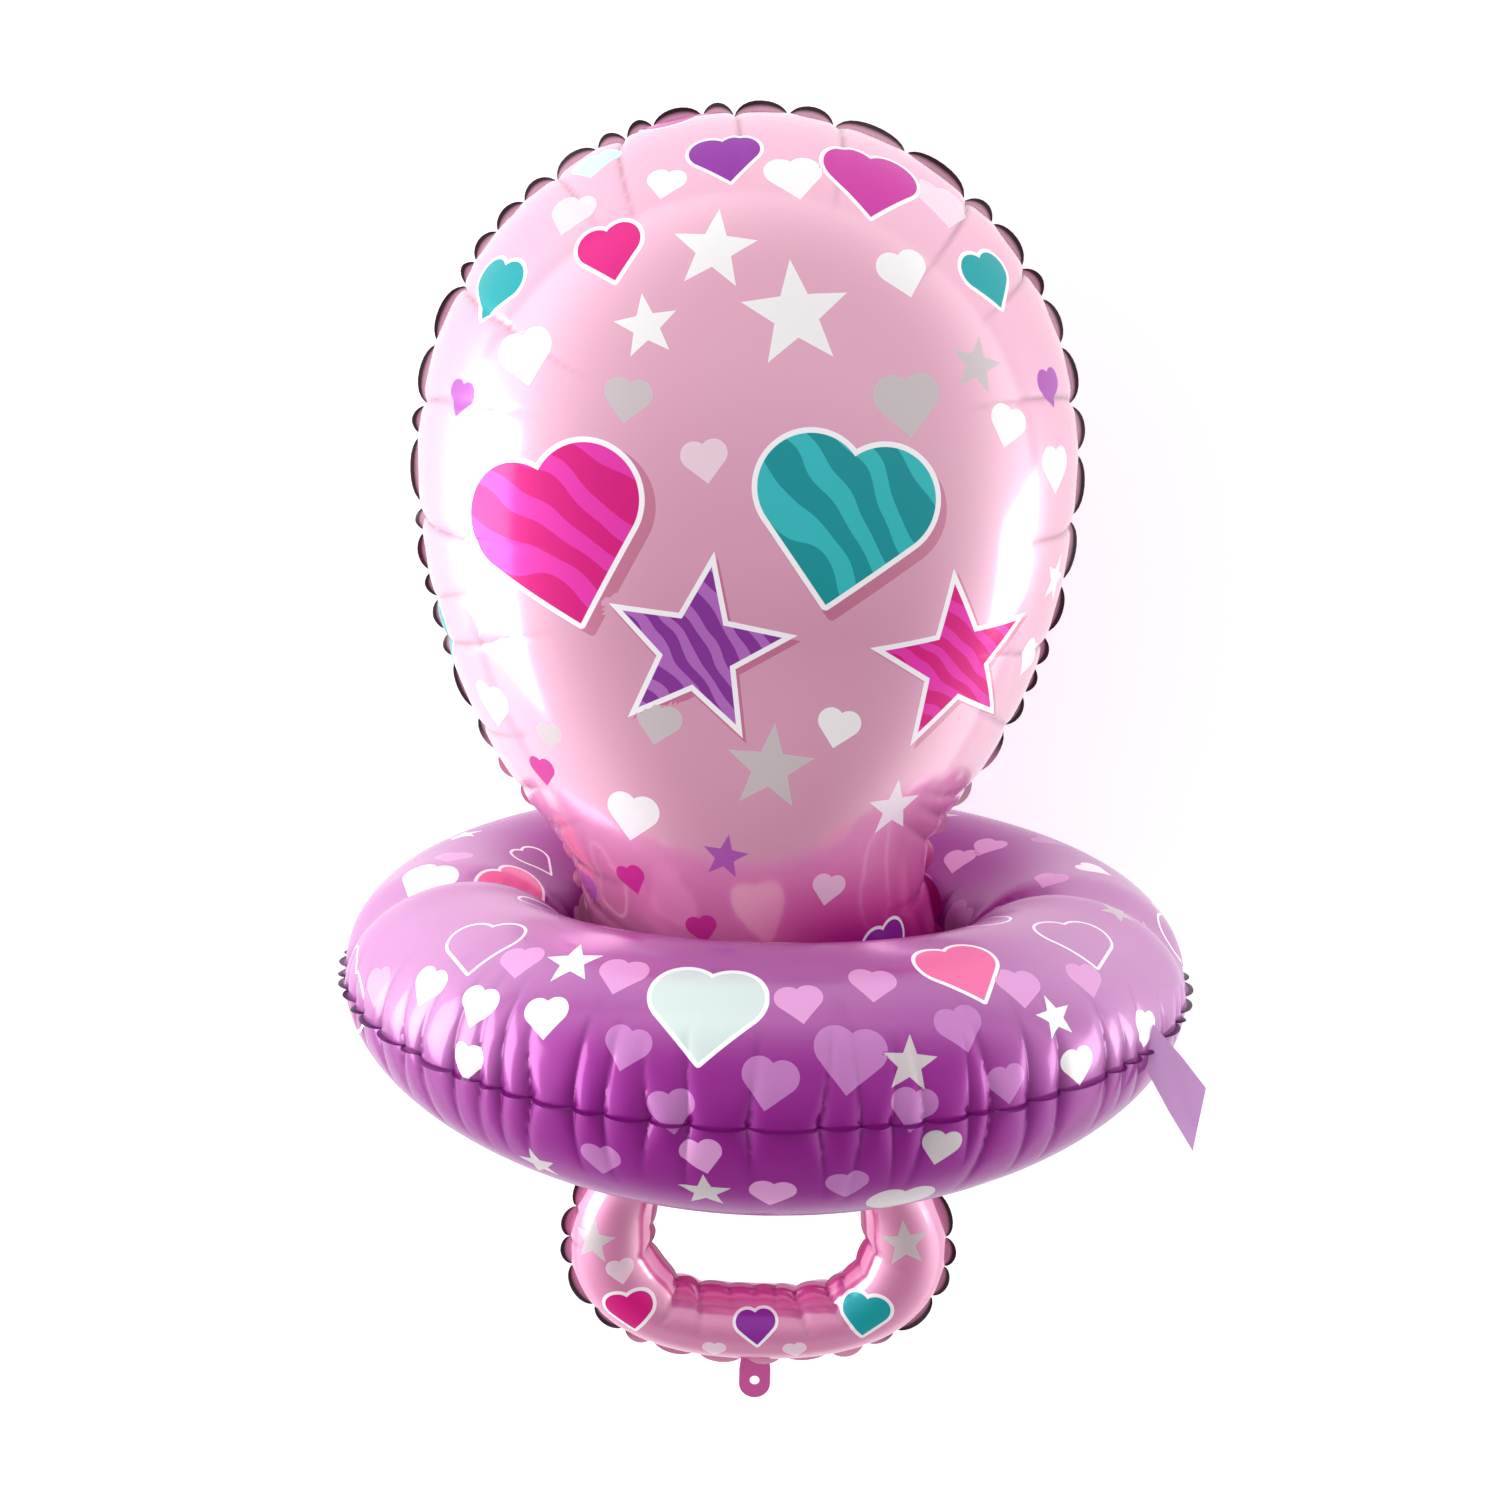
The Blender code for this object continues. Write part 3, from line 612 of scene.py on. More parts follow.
def sealed_flange(skin, roots, out, wide, axis, level, lift, flipped, count):
    """Two sheets outside a seam that meet at their edge: blocks of points, numbered from count, and faces.

    roots gives the seam's row for each side, out the way outwards, axis the coordinate across the sheets,
    level and lift the seam's own place on it and the edge's bend.
    """
    blocks = []
    rows = {side: [root] for side, root in roots.items()}
    first = next(iter(roots))
    for row in range(1, FLANGE_ROWS + 1):
        at = row / FLANGE_ROWS
        for side in roots:
            if row < FLANGE_ROWS or side == first:
                block = skin[roots[side]] + out * (wide * at)[:, None]
                block[:, axis] = level + lift * at ** 2 + side * FLANGE_GAP / 2 * (1.0 - at)
                blocks.append(block)
                number = np.arange(count, count + len(block))
                count += len(block)
            rows[side].append(number)
    faces = []
    for side in roots:
        for inner, outer in zip(rows[side], rows[side][1:]):
            made = strip(inner, outer)
            faces.append(made[:, ::-1] if side == flipped else made)
    return blocks, faces


def skin_normals(points, faces):
    """Unit normals of a mesh's vertices."""
    flat = np.cross(points[faces[:, 1]] - points[faces[:, 0]], points[faces[:, 2]] - points[faces[:, 0]])
    total = np.zeros_like(points)
    for corner in range(3):
        for axis in range(3):
            total[:, axis] += np.bincount(faces[:, corner], flat[:, axis], len(points))
    return total / np.maximum(np.linalg.norm(total, axis=1), 1e-12)[:, None]


def make_piece(name, points, faces):
    """Smooth-shaded mesh from upright points, laid down and kept between the floor and the solids' top."""
    world = lay_down(points)
    world[:, 2] = np.clip(world[:, 2], 0.0, cad_box[1][2])
    mesh = bpy.data.meshes.new(name)
    mesh.vertices.add(len(world))
    mesh.vertices.foreach_set("co", world.astype(np.float32).ravel())
    mesh.loops.add(3 * len(faces))
    mesh.loops.foreach_set("vertex_index", faces.astype(np.int32).ravel())
    mesh.polygons.add(len(faces))
    mesh.polygons.foreach_set("loop_start", np.arange(0, 3 * len(faces), 3, dtype=np.int32))
    mesh.update(calc_edges=True)
    mesh.validate()
    mesh.shade_smooth()
    mesh.set_sharp_from_angle(angle=math.radians(SHARP_ANGLE))
    piece = bpy.data.objects.new(name, mesh)
    bpy.context.scene.collection.objects.link(piece)
    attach(piece, "root")
    return piece


def rim_darkness(z):
    """Painted dark reflection on the sealed edge: dark round the head and at the handle's sides, plain
    elsewhere.
    """
    handle = ramp(z, *HANDLE_DARK_FROM_Z) * ramp(z, *HANDLE_DARK_TO_Z)
    return PLAIN_EDGE + (1.0 - PLAIN_EDGE) * np.maximum(ramp(z, *HEAD_DARK_FROM_Z), handle)


def lobe(share):
    """Width of a flange's scallop across the cell between two creases."""
    return LOBE_LEAST + (1.0 - LOBE_LEAST) * np.sin(math.pi * np.clip(share, 0.0, 1.0)) ** LOBE_POWER


# ---------------------------------------------------------------- pink balloon

# Long creases of the head and neck: where they meet the seam in the picture, reach over the skin, depth
HEAD_CREASES = (
    (734, 112, 0.070, 0.0036), (835, 124, 0.075, 0.0036), (630, 148, 0.080, 0.0040),
    (558, 182, 0.075, 0.0040), (975, 188, 0.085, 0.0040), (464, 284, 0.105, 0.0042),
    (1031, 262, 0.070, 0.0036),
    (425, 404, 0.095, 0.0040), (1073, 404, 0.090, 0.0038), (416, 506, 0.110, 0.0040),
    (1086, 520, 0.080, 0.0036), (424, 600, 0.070, 0.0034), (436, 635, 0.095, 0.0036),
    (1062, 640, 0.080, 0.0036), (470, 716, 0.070, 0.0036), (1010, 730, 0.070, 0.0036),
    (520, 780, 0.065, 0.0040), (980, 780, 0.070, 0.0040), (541, 812, 0.070, 0.0046),
    (958, 817, 0.070, 0.0044), (551, 838, 0.080, 0.0050), (947, 846, 0.075, 0.0050),
    (558, 866, 0.075, 0.0046), (938, 873, 0.070, 0.0046),
)
# Creases beside the handle's opening, in the same form
OPENING_CREASES = (
    (680, 1272, 0.040, 0.0040), (821, 1272, 0.040, 0.0042), (656, 1241, 0.030, 0.0030),
    (851, 1236, 0.030, 0.0030), (700, 1279, 0.034, 0.0034), (793, 1281, 0.036, 0.0036),
)
CREASE_REACH = 1.45
CREASE_DEPTH = 1.20
RIM_ROWS = 16
FLANGE_ROWS = 3
SETTLE_TRIES = 6
LEAST_AREA = 0.08
SETTLE_WITHIN = 0.5
CORE_MARGIN = 0.45
# Deeper colour on the right of the neck's foot, a painted shade, from full to none up the neck and, in shares
# of its half width, across it; on the handle; beside the opening, a painted shade; and on the tab
FOOT_SHADE_TONE_Z = (0.110, 0.042)
FOOT_SHADE_TONE_ACROSS = (-0.4, 0.5)
HANDLE_TONE = 0.30
HANDLE_TONE_Z = (-0.03, -0.08)
HOLE_SHADE = 0.75
HOLE_SHADE_REACH = 0.034
TAB_TONE = 0.70
PINK_FOLD_SHADE = 0.65
OPENING_FOLD_SHADE = 0.26
RING_FOLD_SHADE = 0.30
FOOT_SHADE = 0.45
FOOT_SHADE_Z = (-0.10, -0.05)
# Share of the painted dark edge shade, which stands for the dark that the edge reflects, on a flange's rows,
# at the opening and on the tab
FLANGE_DARKNESS = (0.2, 1.0, 1.0)
OPENING_DARKNESS = 0.25
TAB_DARKNESS = 0.1
PLAIN_EDGE = 0.12
HEAD_DARK_FROM_Z = (0.13, 0.15)
HANDLE_DARK_FROM_Z = (-0.265, -0.253)
HANDLE_DARK_TO_Z = (-0.06, -0.09)
RING_SEAM_DARKNESS = 0.55
# Scallops: least width in shares of the whole, roundness, and the same at the opening
LOBE_LEAST = 0.12
LOBE_POWER = 0.45
OPENING_LOBE = 0.75
# Share of the puckers' depth left on the handle, and how high the handle reaches
HANDLE_PUCKERS = 0.75
HANDLE_TO_Z = -0.10
# The flange's curl: the most one way, where the other way has 1, and its size in shares of the width
PINK_CURL = (0.7, 0.45)
RING_CURL = (0.6, 0.35)


def flat_sheet(cell, seam, seam_in, hole, hole_in, pillow):
    """Flat layout of one sheet inside its seams: points, gaps, faces and the two seam rows."""
    gaps = RIM_BAND * (np.arange(RIM_ROWS + 1) / RIM_ROWS) ** 2
    points = []
    depth_gaps = []
    faces = []
    rims = []
    count = 0
    for loop, normals in ((seam, seam_in), (hole, hole_in)):
        rows = []
        for gap in gaps:
            rows.append(np.arange(count, count + len(loop)))
            points.append(loop + normals * gap)
            depth_gaps.append(np.full(len(loop), gap))
            count += len(loop)
        faces += [strip(outer_row, inner_row) for outer_row, inner_row in zip(rows, rows[1:])]
        rims.append(rows)

    low = seam.min(0)
    high = seam.max(0)
    xs = np.arange(low[0], high[0] + cell, cell)
    zs = np.arange(low[1], high[1] + cell, cell)
    gx, gz = np.meshgrid(xs, zs, indexing="ij")
    nodes = np.stack([gx.ravel(), gz.ravel()], -1)
    gap = pillow.gap(nodes)[0]
    core = (gap > RIM_BAND + CORE_MARGIN * cell).reshape(gx.shape)
    cells = core[:-1, :-1] & core[1:, :-1] & core[:-1, 1:] & core[1:, 1:]
    used = np.zeros(gx.shape, bool)
    for di, dj in ((0, 0), (1, 0), (0, 1), (1, 1)):
        used[di:di + cells.shape[0], dj:dj + cells.shape[1]] |= cells
    number = np.full(gx.shape, -1)
    number[used] = count + np.arange(used.sum())
    points.append(nodes[used.ravel()])
    depth_gaps.append(gap[used.ravel()])
    i, j = np.nonzero(cells)
    a, b, c, d = number[i, j], number[i + 1, j], number[i + 1, j + 1], number[i, j + 1]
    faces.append(quads(a, b, c, d))
    points = np.vstack(points)

    links = []
    padded = np.pad(cells, 1)
    for di, dj, first, second in ((-1, 0, (0, 0), (0, 1)), (1, 0, (1, 0), (1, 1)),
                                  (0, -1, (0, 0), (1, 0)), (0, 1, (0, 1), (1, 1))):
        edge = cells & ~padded[1 + di:1 + di + cells.shape[0], 1 + dj:1 + dj + cells.shape[1]]
        i, j = np.nonzero(edge)
        links.append(np.stack([number[i + first[0], j + first[1]], number[i + second[0], j + second[1]]], -1))
    links = np.vstack(links + [np.stack([rows[-1], np.roll(rows[-1], -1)], -1) for rows in rims])
    local, local_links = np.unique(links, return_inverse=True)
    tris = triangulate(points[local], local_links.reshape(links.shape).tolist(), 0)
    middle = points[local][tris].mean(1)
    i = np.clip(((middle[:, 0] - low[0]) / cell).astype(int), 0, cells.shape[0] - 1)
    j = np.clip(((middle[:, 1] - low[1]) / cell).astype(int), 0, cells.shape[1] - 1)
    keep = ~cells[i, j] & inside(middle, points[rims[0][-1]]) & ~inside(middle, points[rims[1][-1]])
    faces.append(local[tris[keep]])
    return points, np.concatenate(depth_gaps), np.vstack(faces), rims[0][0], rims[1][0]


def flat_area(flat, faces):
    """Twice the signed area of each face of a flat layout."""
    one = flat[faces[:, 1]] - flat[faces[:, 0]]
    two = flat[faces[:, 2]] - flat[faces[:, 0]]
    return one[:, 0] * two[:, 1] - one[:, 1] * two[:, 0]


def placed(creases, loop):
    """Creases with their distance along a seam."""
    return [(nearest(np.array([seam_point(px, py)]), loop)[1][0], CREASE_REACH * reach, CREASE_DEPTH * deep)
            for px, py, reach, deep in creases]


def pink_sheet(side, cell, edges, outer, puckers, pillow, depth):
    """One inflated sheet: points, faces, seam rows, fold lines for painted crease shade, and the painted
    shade beside the opening.
    """
    flat, gap, faces, seam_row, hole_row = flat_sheet(cell, *edges, pillow)
    _, at_hole, place = pillow.gap(flat)
    free = (gap > RIM_BAND) & ~at_hole
    away = np.hypot(gap, depth(flat, gap))
    settled = puckers[0].settled(flat, place, away, outer, SETTLE_WITHIN * cell, free)
    area = flat_area(flat, faces)
    for _ in range(SETTLE_TRIES):
        crushed = flat_area(settled, faces) / area < LEAST_AREA
        settled[faces[crushed]] = flat[faces[crushed]]
    flat = settled
    turn_over = area * side > 0
    faces[turn_over] = faces[turn_over][:, ::-1]
    gap_now, at_hole, place = pillow.gap(flat)
    gap = np.where(free, gap_now, gap)
    half = np.maximum(depth(flat, gap), FLANGE_GAP / 2)
    points = np.stack([flat[:, 0], side * half, flat[:, 1]], -1)
    away = np.hypot(gap, half)
    push, fold = puckers[0].push(place, away)
    hole_push, hole_fold = puckers[1].push(place, away)
    push = np.where(at_hole, hole_push, push * np.where(flat[:, 1] < HANDLE_TO_Z, HANDLE_PUCKERS, 1.0))
    points = points - skin_normals(points, faces) * push[:, None]
    points[:, 1] = side * np.maximum(side * points[:, 1], FLANGE_GAP / 2)
    fold = np.where(at_hole, OPENING_FOLD_SHADE * hole_fold, PINK_FOLD_SHADE * fold)
    # Painted shade beside the opening's inner edge
    hole_shade = np.where(at_hole, HOLE_SHADE * ramp(away, HOLE_SHADE_REACH, 0.0), 0.0)
    return points, faces, {0: seam_row, 1: hole_row}, fold, hole_shade


def build_pink():
    """The pink balloon as one closed skin: two inflated sheets, their flanges and the fill tab."""
    outline = pink_outline()
    turn = -np.linspace(0.0, TAU, 6 * ARC_POINTS, endpoint=False)
    hole = superellipse(turn, OPENING_HALF_WIDTH + OPENING_FLANGE_WIDTH,
                        OPENING_HALF_HEIGHT + OPENING_FLANGE_WIDTH, OPENING_SQUARENESS)
    loops = (outline + inward(outline) * FLANGE_WIDTH, hole + (0.0, OPENING_Z))
    lengths = [runs(loop)[1] for loop in loops]
    puckers = (Puckers(lengths[0], PINK_PITCH, PINK_PUCKER, PINK_PUCKER_REACH,
                       placed(HEAD_CREASES, loops[0])),
               Puckers(lengths[1], OPENING_PITCH, OPENING_PUCKER, OPENING_PUCKER_REACH,
                       placed(OPENING_CREASES, loops[1])))
    seam_runs = (puckers[0].columns(PINK_COLUMNS), puckers[1].columns(OPENING_COLUMNS))
    seams = [at_runs(loop, run) for loop, run in zip(loops, seam_runs)]
    ways_in = (inward(seams[0]), -inward(seams[1]))
    pillow = Pillow(*(at_runs(loop, np.arange(0.0, size, OUTLINE_STEP))
                      for loop, size in zip(loops, lengths)))
    depth = PinkDepth(pillow)

    edges = (seams[0], ways_in[0], seams[1], ways_in[1])
    points, faces, marks, hole_shades, rows = [], [], [], [], {}
    count = 0
    for side, cell in ((-1.0, FRONT_CELL), (1.0, BACK_CELL)):
        made = pink_sheet(side, cell, edges, loops[0], puckers, pillow, depth)
        points.append(made[0])
        faces.append(made[1] + count)
        rows[side] = [made[2][which] + count for which in (0, 1)]
        marks.append(made[3])
        hole_shades.append(made[4])
        count += len(made[0])
    skin = np.vstack(points)

    most, bend = PINK_CURL
    for which, width, flipped in ((0, FLANGE_WIDTH, 1.0), (1, OPENING_FLANGE_WIDTH, -1.0)):
        scallop = lobe(puckers[which].cell(seam_runs[which]))
        wide = width * (scallop if which == 0 else OPENING_LOBE + (1.0 - OPENING_LOBE) * scallop)
        out = -np.insert(ways_in[which], 1, 0.0, 1)
        curl = puckers[which].curl(seam_runs[which], most)
        blocks, made = sealed_flange(skin, {side: rows[side][which] for side in rows}, out, wide, 1, 0.0,
                                     curl * bend * wide, flipped, count)
        for k, flange in enumerate(blocks):
            # Painted dark reflection on the flanges, weaker at the opening
            dark = rim_darkness(flange[:, 2]) if which == 0 else np.full(len(flange), OPENING_DARKNESS)
            marks.append(dark * FLANGE_DARKNESS[k // 2])
        points += blocks
        faces += made
        count += sum(len(flange) for flange in blocks)
    tab_points, tab_faces = build_tab()
    points = np.vstack(points + [tab_points])
    marks = np.concatenate(marks + [np.full(len(tab_points), TAB_DARKNESS)])

    x, z = points[:, 0], points[:, 2]
    # Painted shade on the right of the neck's foot next to the ring: a deeper colour and some dark edge shade
    tone = ramp(z, *FOOT_SHADE_TONE_Z) * ramp(x / NECK_HALF_WIDTH, *FOOT_SHADE_TONE_ACROSS)
    marks = np.maximum(marks, FOOT_SHADE * tone ** 2 * ramp(z, *FOOT_SHADE_Z))
    tone += (HANDLE_TONE - tone) * ramp(z, *HANDLE_TONE_Z)
    tone[:len(skin)] = np.maximum(tone[:len(skin)], np.concatenate(hole_shades))
    tone[count:] = TAB_TONE
    points[:, 0] += lean(z)
    return points, np.vstack(faces + [tab_faces + count]), marks, tone, len(skin)


def build_tab():
    """The flat fill tab below the handle, with its hole."""
    rim_z = HANDLE_Z - HANDLE_DROP
    end_z = rim_z - TAB_LENGTH
    side_z = end_z + TAB_HALF_WIDTH
    root = TAB_ROOT_WIDTH * TAB_HALF_WIDTH
    turn = math.pi * np.arange(1, TAB_POINTS) / TAB_POINTS
    tip = superellipse(math.pi + turn, TAB_HALF_WIDTH, TAB_HALF_WIDTH) + (0, side_z)
    loop = np.vstack([[(root, rim_z + TAB_ROOT), (-root, rim_z + TAB_ROOT),
                       (-TAB_HALF_WIDTH, rim_z - TAB_ROOT), (-TAB_HALF_WIDTH, side_z)], tip,
                      [(TAB_HALF_WIDTH, side_z), (TAB_HALF_WIDTH, rim_z - TAB_ROOT)]])
    turn = TAU * np.arange(TAB_POINTS) / TAB_POINTS
    hole = superellipse(turn, TAB_HOLE_RADIUS, TAB_HOLE_RADIUS) + (0, end_z + TAB_HOLE_FROM_END)
    flat = np.vstack([loop, hole])
    n, m = len(loop), len(hole)
    links = [((k + 1) % n, k) for k in range(n)] + [(n + k, n + (k + 1) % m) for k in range(m)]
    tris = triangulate(flat, links, 1)
    middle = flat[tris].mean(1)
    tris = tris[~inside(middle, hole) & inside(middle, loop)]
    turned = flat_area(flat, tris) < 0
    tris[turned] = tris[turned][:, ::-1]
    half = FLANGE_GAP / 2 + TAB_FILM
    sheets = [np.insert(flat, 1, side * half, 1) for side in (-1, 1)]
    return np.vstack(sheets), slab_faces(tris, links, len(flat))


# ---------------------------------------------------------------- ring balloon

RING_CREASE_POINTS = (376, 400, 416, 449, 477, 497, 528, 570, 601, 647, 687, 747, 820, 863, 894, 927, 971,
                      995, 1032, 1064, 1111, 1143)
RING_FINE_ROWS = 23
RING_COARSE_ROWS = 55
RING_FINE_TO = 0.66
FRONT_HALF = 1.45
FRONT_POINTS = 600
TUBE_HALF_WIDTH = 0.0736
HOLE_ROOM = 0.002
# Painted light on the ring, a paler colour where it catches the light: its share and where each change starts
# and ends, in degrees
RING_TONE_MIDDLE = 0.24
RING_TONE_SIDE = 0.42
SIDE_TONE_BELOW = 0.3
MIDDLE_TURN = (20.0, 60.0)
SIDE_AZIMUTH = (20.0, 54.0)
SIDE_TURN = (-8.0, 18.0)
SIDE_TURN_END = (-40.0, -10.0)
INNER_LOSS, INNER_TURN = 0.95, (85.0, 130.0)
BEHIND_LOSS, BEHIND_AZIMUTH = 0.75, (80.0, 120.0)
SEAM_DARK_AZIMUTH = (45.0, 65.0)


def from_front(azimuth):
    """Degrees from the front, to either side."""
    return np.abs(np.degrees(np.arctan2(np.sin(azimuth), np.cos(azimuth))))


def fold_factor(azimuth, turn):
    """The tube's kink at each side, on its upper half, with a lip in front of it."""
    off = from_front(azimuth) - FOLD_ANGLE
    upper = np.maximum(0.0, np.sin(turn)) ** FOLD_POWER
    valley = FOLD_DEPTH * np.exp(-(off / FOLD_WIDTH) ** 2)
    lip = FOLD_LIP * np.exp(-((off + 2 * FOLD_WIDTH) / FOLD_WIDTH) ** 2)
    return 1.0 + upper * (lip - valley)


def ring_skin(azimuth, turn):
    """Points of the ring's skin; azimuth 0 is the front, turn 0 the outer seam, 90 degrees the head side."""
    radius = by_azimuth(RING_RADIUS_FRONT, RING_RADIUS_SIDE, azimuth)
    height = by_azimuth(TUBE_HEIGHT_FRONT, TUBE_HEIGHT_SIDE, azimuth)
    size = fold_factor(azimuth, turn)
    out = radius + tube_reach(azimuth) * size * np.cos(turn)
    z = height * size * np.sin(turn) - RING_SADDLE * np.cos(2 * azimuth)
    return np.stack([out * np.sin(azimuth), -out * np.cos(azimuth), z], -1)


def seam_azimuth(px):
    """Azimuth of the ring's outer seam under a picture column, on its front half."""
    azimuth = np.linspace(-FRONT_HALF, FRONT_HALF, FRONT_POINTS)
    seam = ring_skin(azimuth, np.zeros_like(azimuth)) - eye
    columns = PICTURE / 2 + FOCAL * (seam @ across) / (seam @ ahead)
    return float(np.interp(px, columns, azimuth))


def ring_tone(azimuth, turn):
    """Share of the painted light, a paler colour: more on the upper side and towards the ring's sides, less
    inside the hole.
    """
    off = from_front(azimuth)
    turn = np.degrees(turn)
    middle = RING_TONE_MIDDLE * ramp(turn, *MIDDLE_TURN)
    side = RING_TONE_SIDE * ramp(off, *SIDE_AZIMUTH) * blend(ramp(turn, *SIDE_TURN), SIDE_TONE_BELOW, 1.0)
    side *= ramp(turn, *SIDE_TURN_END)
    inner = 1.0 - INNER_LOSS * ramp(turn, *INNER_TURN)
    behind = 1.0 - BEHIND_LOSS * ramp(off, *BEHIND_AZIMUTH)
    return (middle + (1.0 - middle) * side) * inner * behind


def build_ring():
    """The ring's two sheets as one closed skin, with puckers at both seams and a thin flange outside."""
    radius = (RING_RADIUS_FRONT + RING_RADIUS_SIDE) / 2
    mean_radius = radius + TUBE_HALF_WIDTH
    named = [(seam_azimuth(px) % TAU * mean_radius, RING_CREASE_REACH * random.uniform(*NAMED_REACH_SPREAD),
              RING_CREASE * random.uniform(*DEPTH_SPREAD)) for px in RING_CREASE_POINTS]
    outer = Puckers(TAU * mean_radius, RING_PITCH, RING_PUCKER, RING_PUCKER_REACH, named)
    lower_reach = outer.reach * random.uniform(*RING_LOWER_REACH, len(outer.reach))
    inner_radius = NECK_HALF_WIDTH + HOLE_ROOM
    inner = Puckers(TAU * inner_radius, HOLE_PITCH, HOLE_PUCKER, HOLE_PUCKER_REACH)

    runs_at = outer.columns(RING_COLUMNS)
    if len(runs_at) % 2:
        raise ValueError("the ring needs an even number of columns")
    azimuth = runs_at / mean_radius
    turns = [(turn, azimuth) for turn in np.linspace(0.0, RING_FINE_TO, RING_FINE_ROWS)]
    turns += [(turn, azimuth[::2]) for turn in np.linspace(RING_FINE_TO, math.pi, RING_COARSE_ROWS + 1)[1:]]
    columns, rows = [], {1: [], -1: []}
    count = 0
    for side in rows:
        for turn, places in turns:
            if side < 0 and turn == turns[-1][0]:
                rows[side].append(rows[1][-1])
                continue
            columns.append(np.stack([places, np.full(len(places), turn), np.full(len(places), side)]))
            rows[side].append(np.arange(count, count + len(places)))
            count += len(places)
    around, turn, sides = np.hstack(columns)
    skin = ring_skin(around, turn * sides)
    skin[:, 2] += np.where(turn == 0.0, sides * FLANGE_GAP / 2, 0.0)
    faces = []
    for side in rows:
        for a, b in zip(rows[side], rows[side][1:]):
            made = strip(a, b) if len(a) == len(b) else halve(a, b)
            faces.append(made if side > 0 else made[:, ::-1])
    out = skin_normals(skin, np.vstack(faces))
    run = around * mean_radius
    size = radius - inner_radius
    push, fold = outer.push(run, turn * size)
    low_push, low_fold = outer.push(run, turn * size, lower_reach)
    inner_push, inner_fold = inner.push(around * inner_radius, (math.pi - turn) * size)
    push = np.where(sides > 0, push, low_push) + inner_push
    fold = RING_FOLD_SHADE * np.maximum(np.where(sides > 0, fold, low_fold), inner_fold)
    skin = skin - out * push[:, None]

    most, bend = RING_CURL
    curl = outer.curl(runs_at, most)
    outward = np.stack([np.sin(azimuth), -np.cos(azimuth), np.zeros(len(azimuth))], -1)
    blocks, flange = sealed_flange(skin, {side: rows[side][0] for side in rows}, outward,
                                   RING_SEAM_WIDTH * lobe(outer.cell(runs_at)), 2,
                                   -RING_SADDLE * np.cos(2 * azimuth), curl * bend * RING_SEAM_WIDTH,
                                   1, count)
    # Painted dark reflection on the ring's flange, weaker at the front
    dark = blend(ramp(from_front(azimuth), *SEAM_DARK_AZIMUTH), RING_SEAM_DARKNESS, 1.0)
    points = np.vstack([skin] + blocks)
    # Painted light: a paler colour where the ring catches the light, less at the back
    tone = np.concatenate([ring_tone(around, turn * sides), np.zeros(len(points) - len(skin))])
    return points, np.vstack(faces + flange), np.concatenate([fold] + [dark] * len(blocks)), tone, len(skin)


def build_tail():
    """The loose, flat end of the ring's fill tab."""
    azimuth, droop, twist = np.radians((TAIL_ANGLE, TAIL_DROOP, TAIL_TWIST))
    root = ring_skin(np.array([azimuth]), np.array([0.0]))[0]
    s, c = math.sin(azimuth), math.cos(azimuth)
    along = np.array([s * math.cos(droop), -c * math.cos(droop), -math.sin(droop)])
    side = np.array([c * math.cos(twist), s * math.cos(twist), math.sin(twist)])
    face = np.cross(side, along)
    face /= np.linalg.norm(face)
    n, m = TAIL_CELLS
    run = -TAIL_ROOT + (TAIL_ROOT + TAIL_LENGTH) * np.arange(n + 1)[:, None] / n
    v = 2.0 * np.arange(m + 1)[None, :] / m - 1.0
    width = np.interp(run, (-TAIL_ROOT, 0.0, TAIL_LENGTH / 2, TAIL_LENGTH), TAIL_WIDTHS) * TAIL_WIDTH
    wave = TAIL_WAVE * np.sin(TAIL_WAVES[0] * v + TAIL_WAVES[1] * run) * np.maximum(run, 0.0) / TAIL_LENGTH
    middle = root + (run + 0.0 * v)[..., None] * along + (v * width)[..., None] * side
    sheets = [(middle + (wave + way * TAIL_THICKNESS / 2)[..., None] * face).reshape(-1, 3)
              for way in (-1, 1)]
    number = np.arange((n + 1) * (m + 1)).reshape(n + 1, m + 1)
    a, b, c, d = (q.ravel() for q in (number[:-1, :-1], number[1:, :-1], number[1:, 1:], number[:-1, 1:]))
    sheet = quads(a, b, c, d)
    loop = [*number[0, :-1], *number[:-1, -1], *number[-1, :0:-1], *number[:0:-1, 0]]
    return np.vstack(sheets), slab_faces(sheet, list(zip(loop, loop[1:] + loop[:1])), number.size)


# ---------------------------------------------------------------- printed motifs

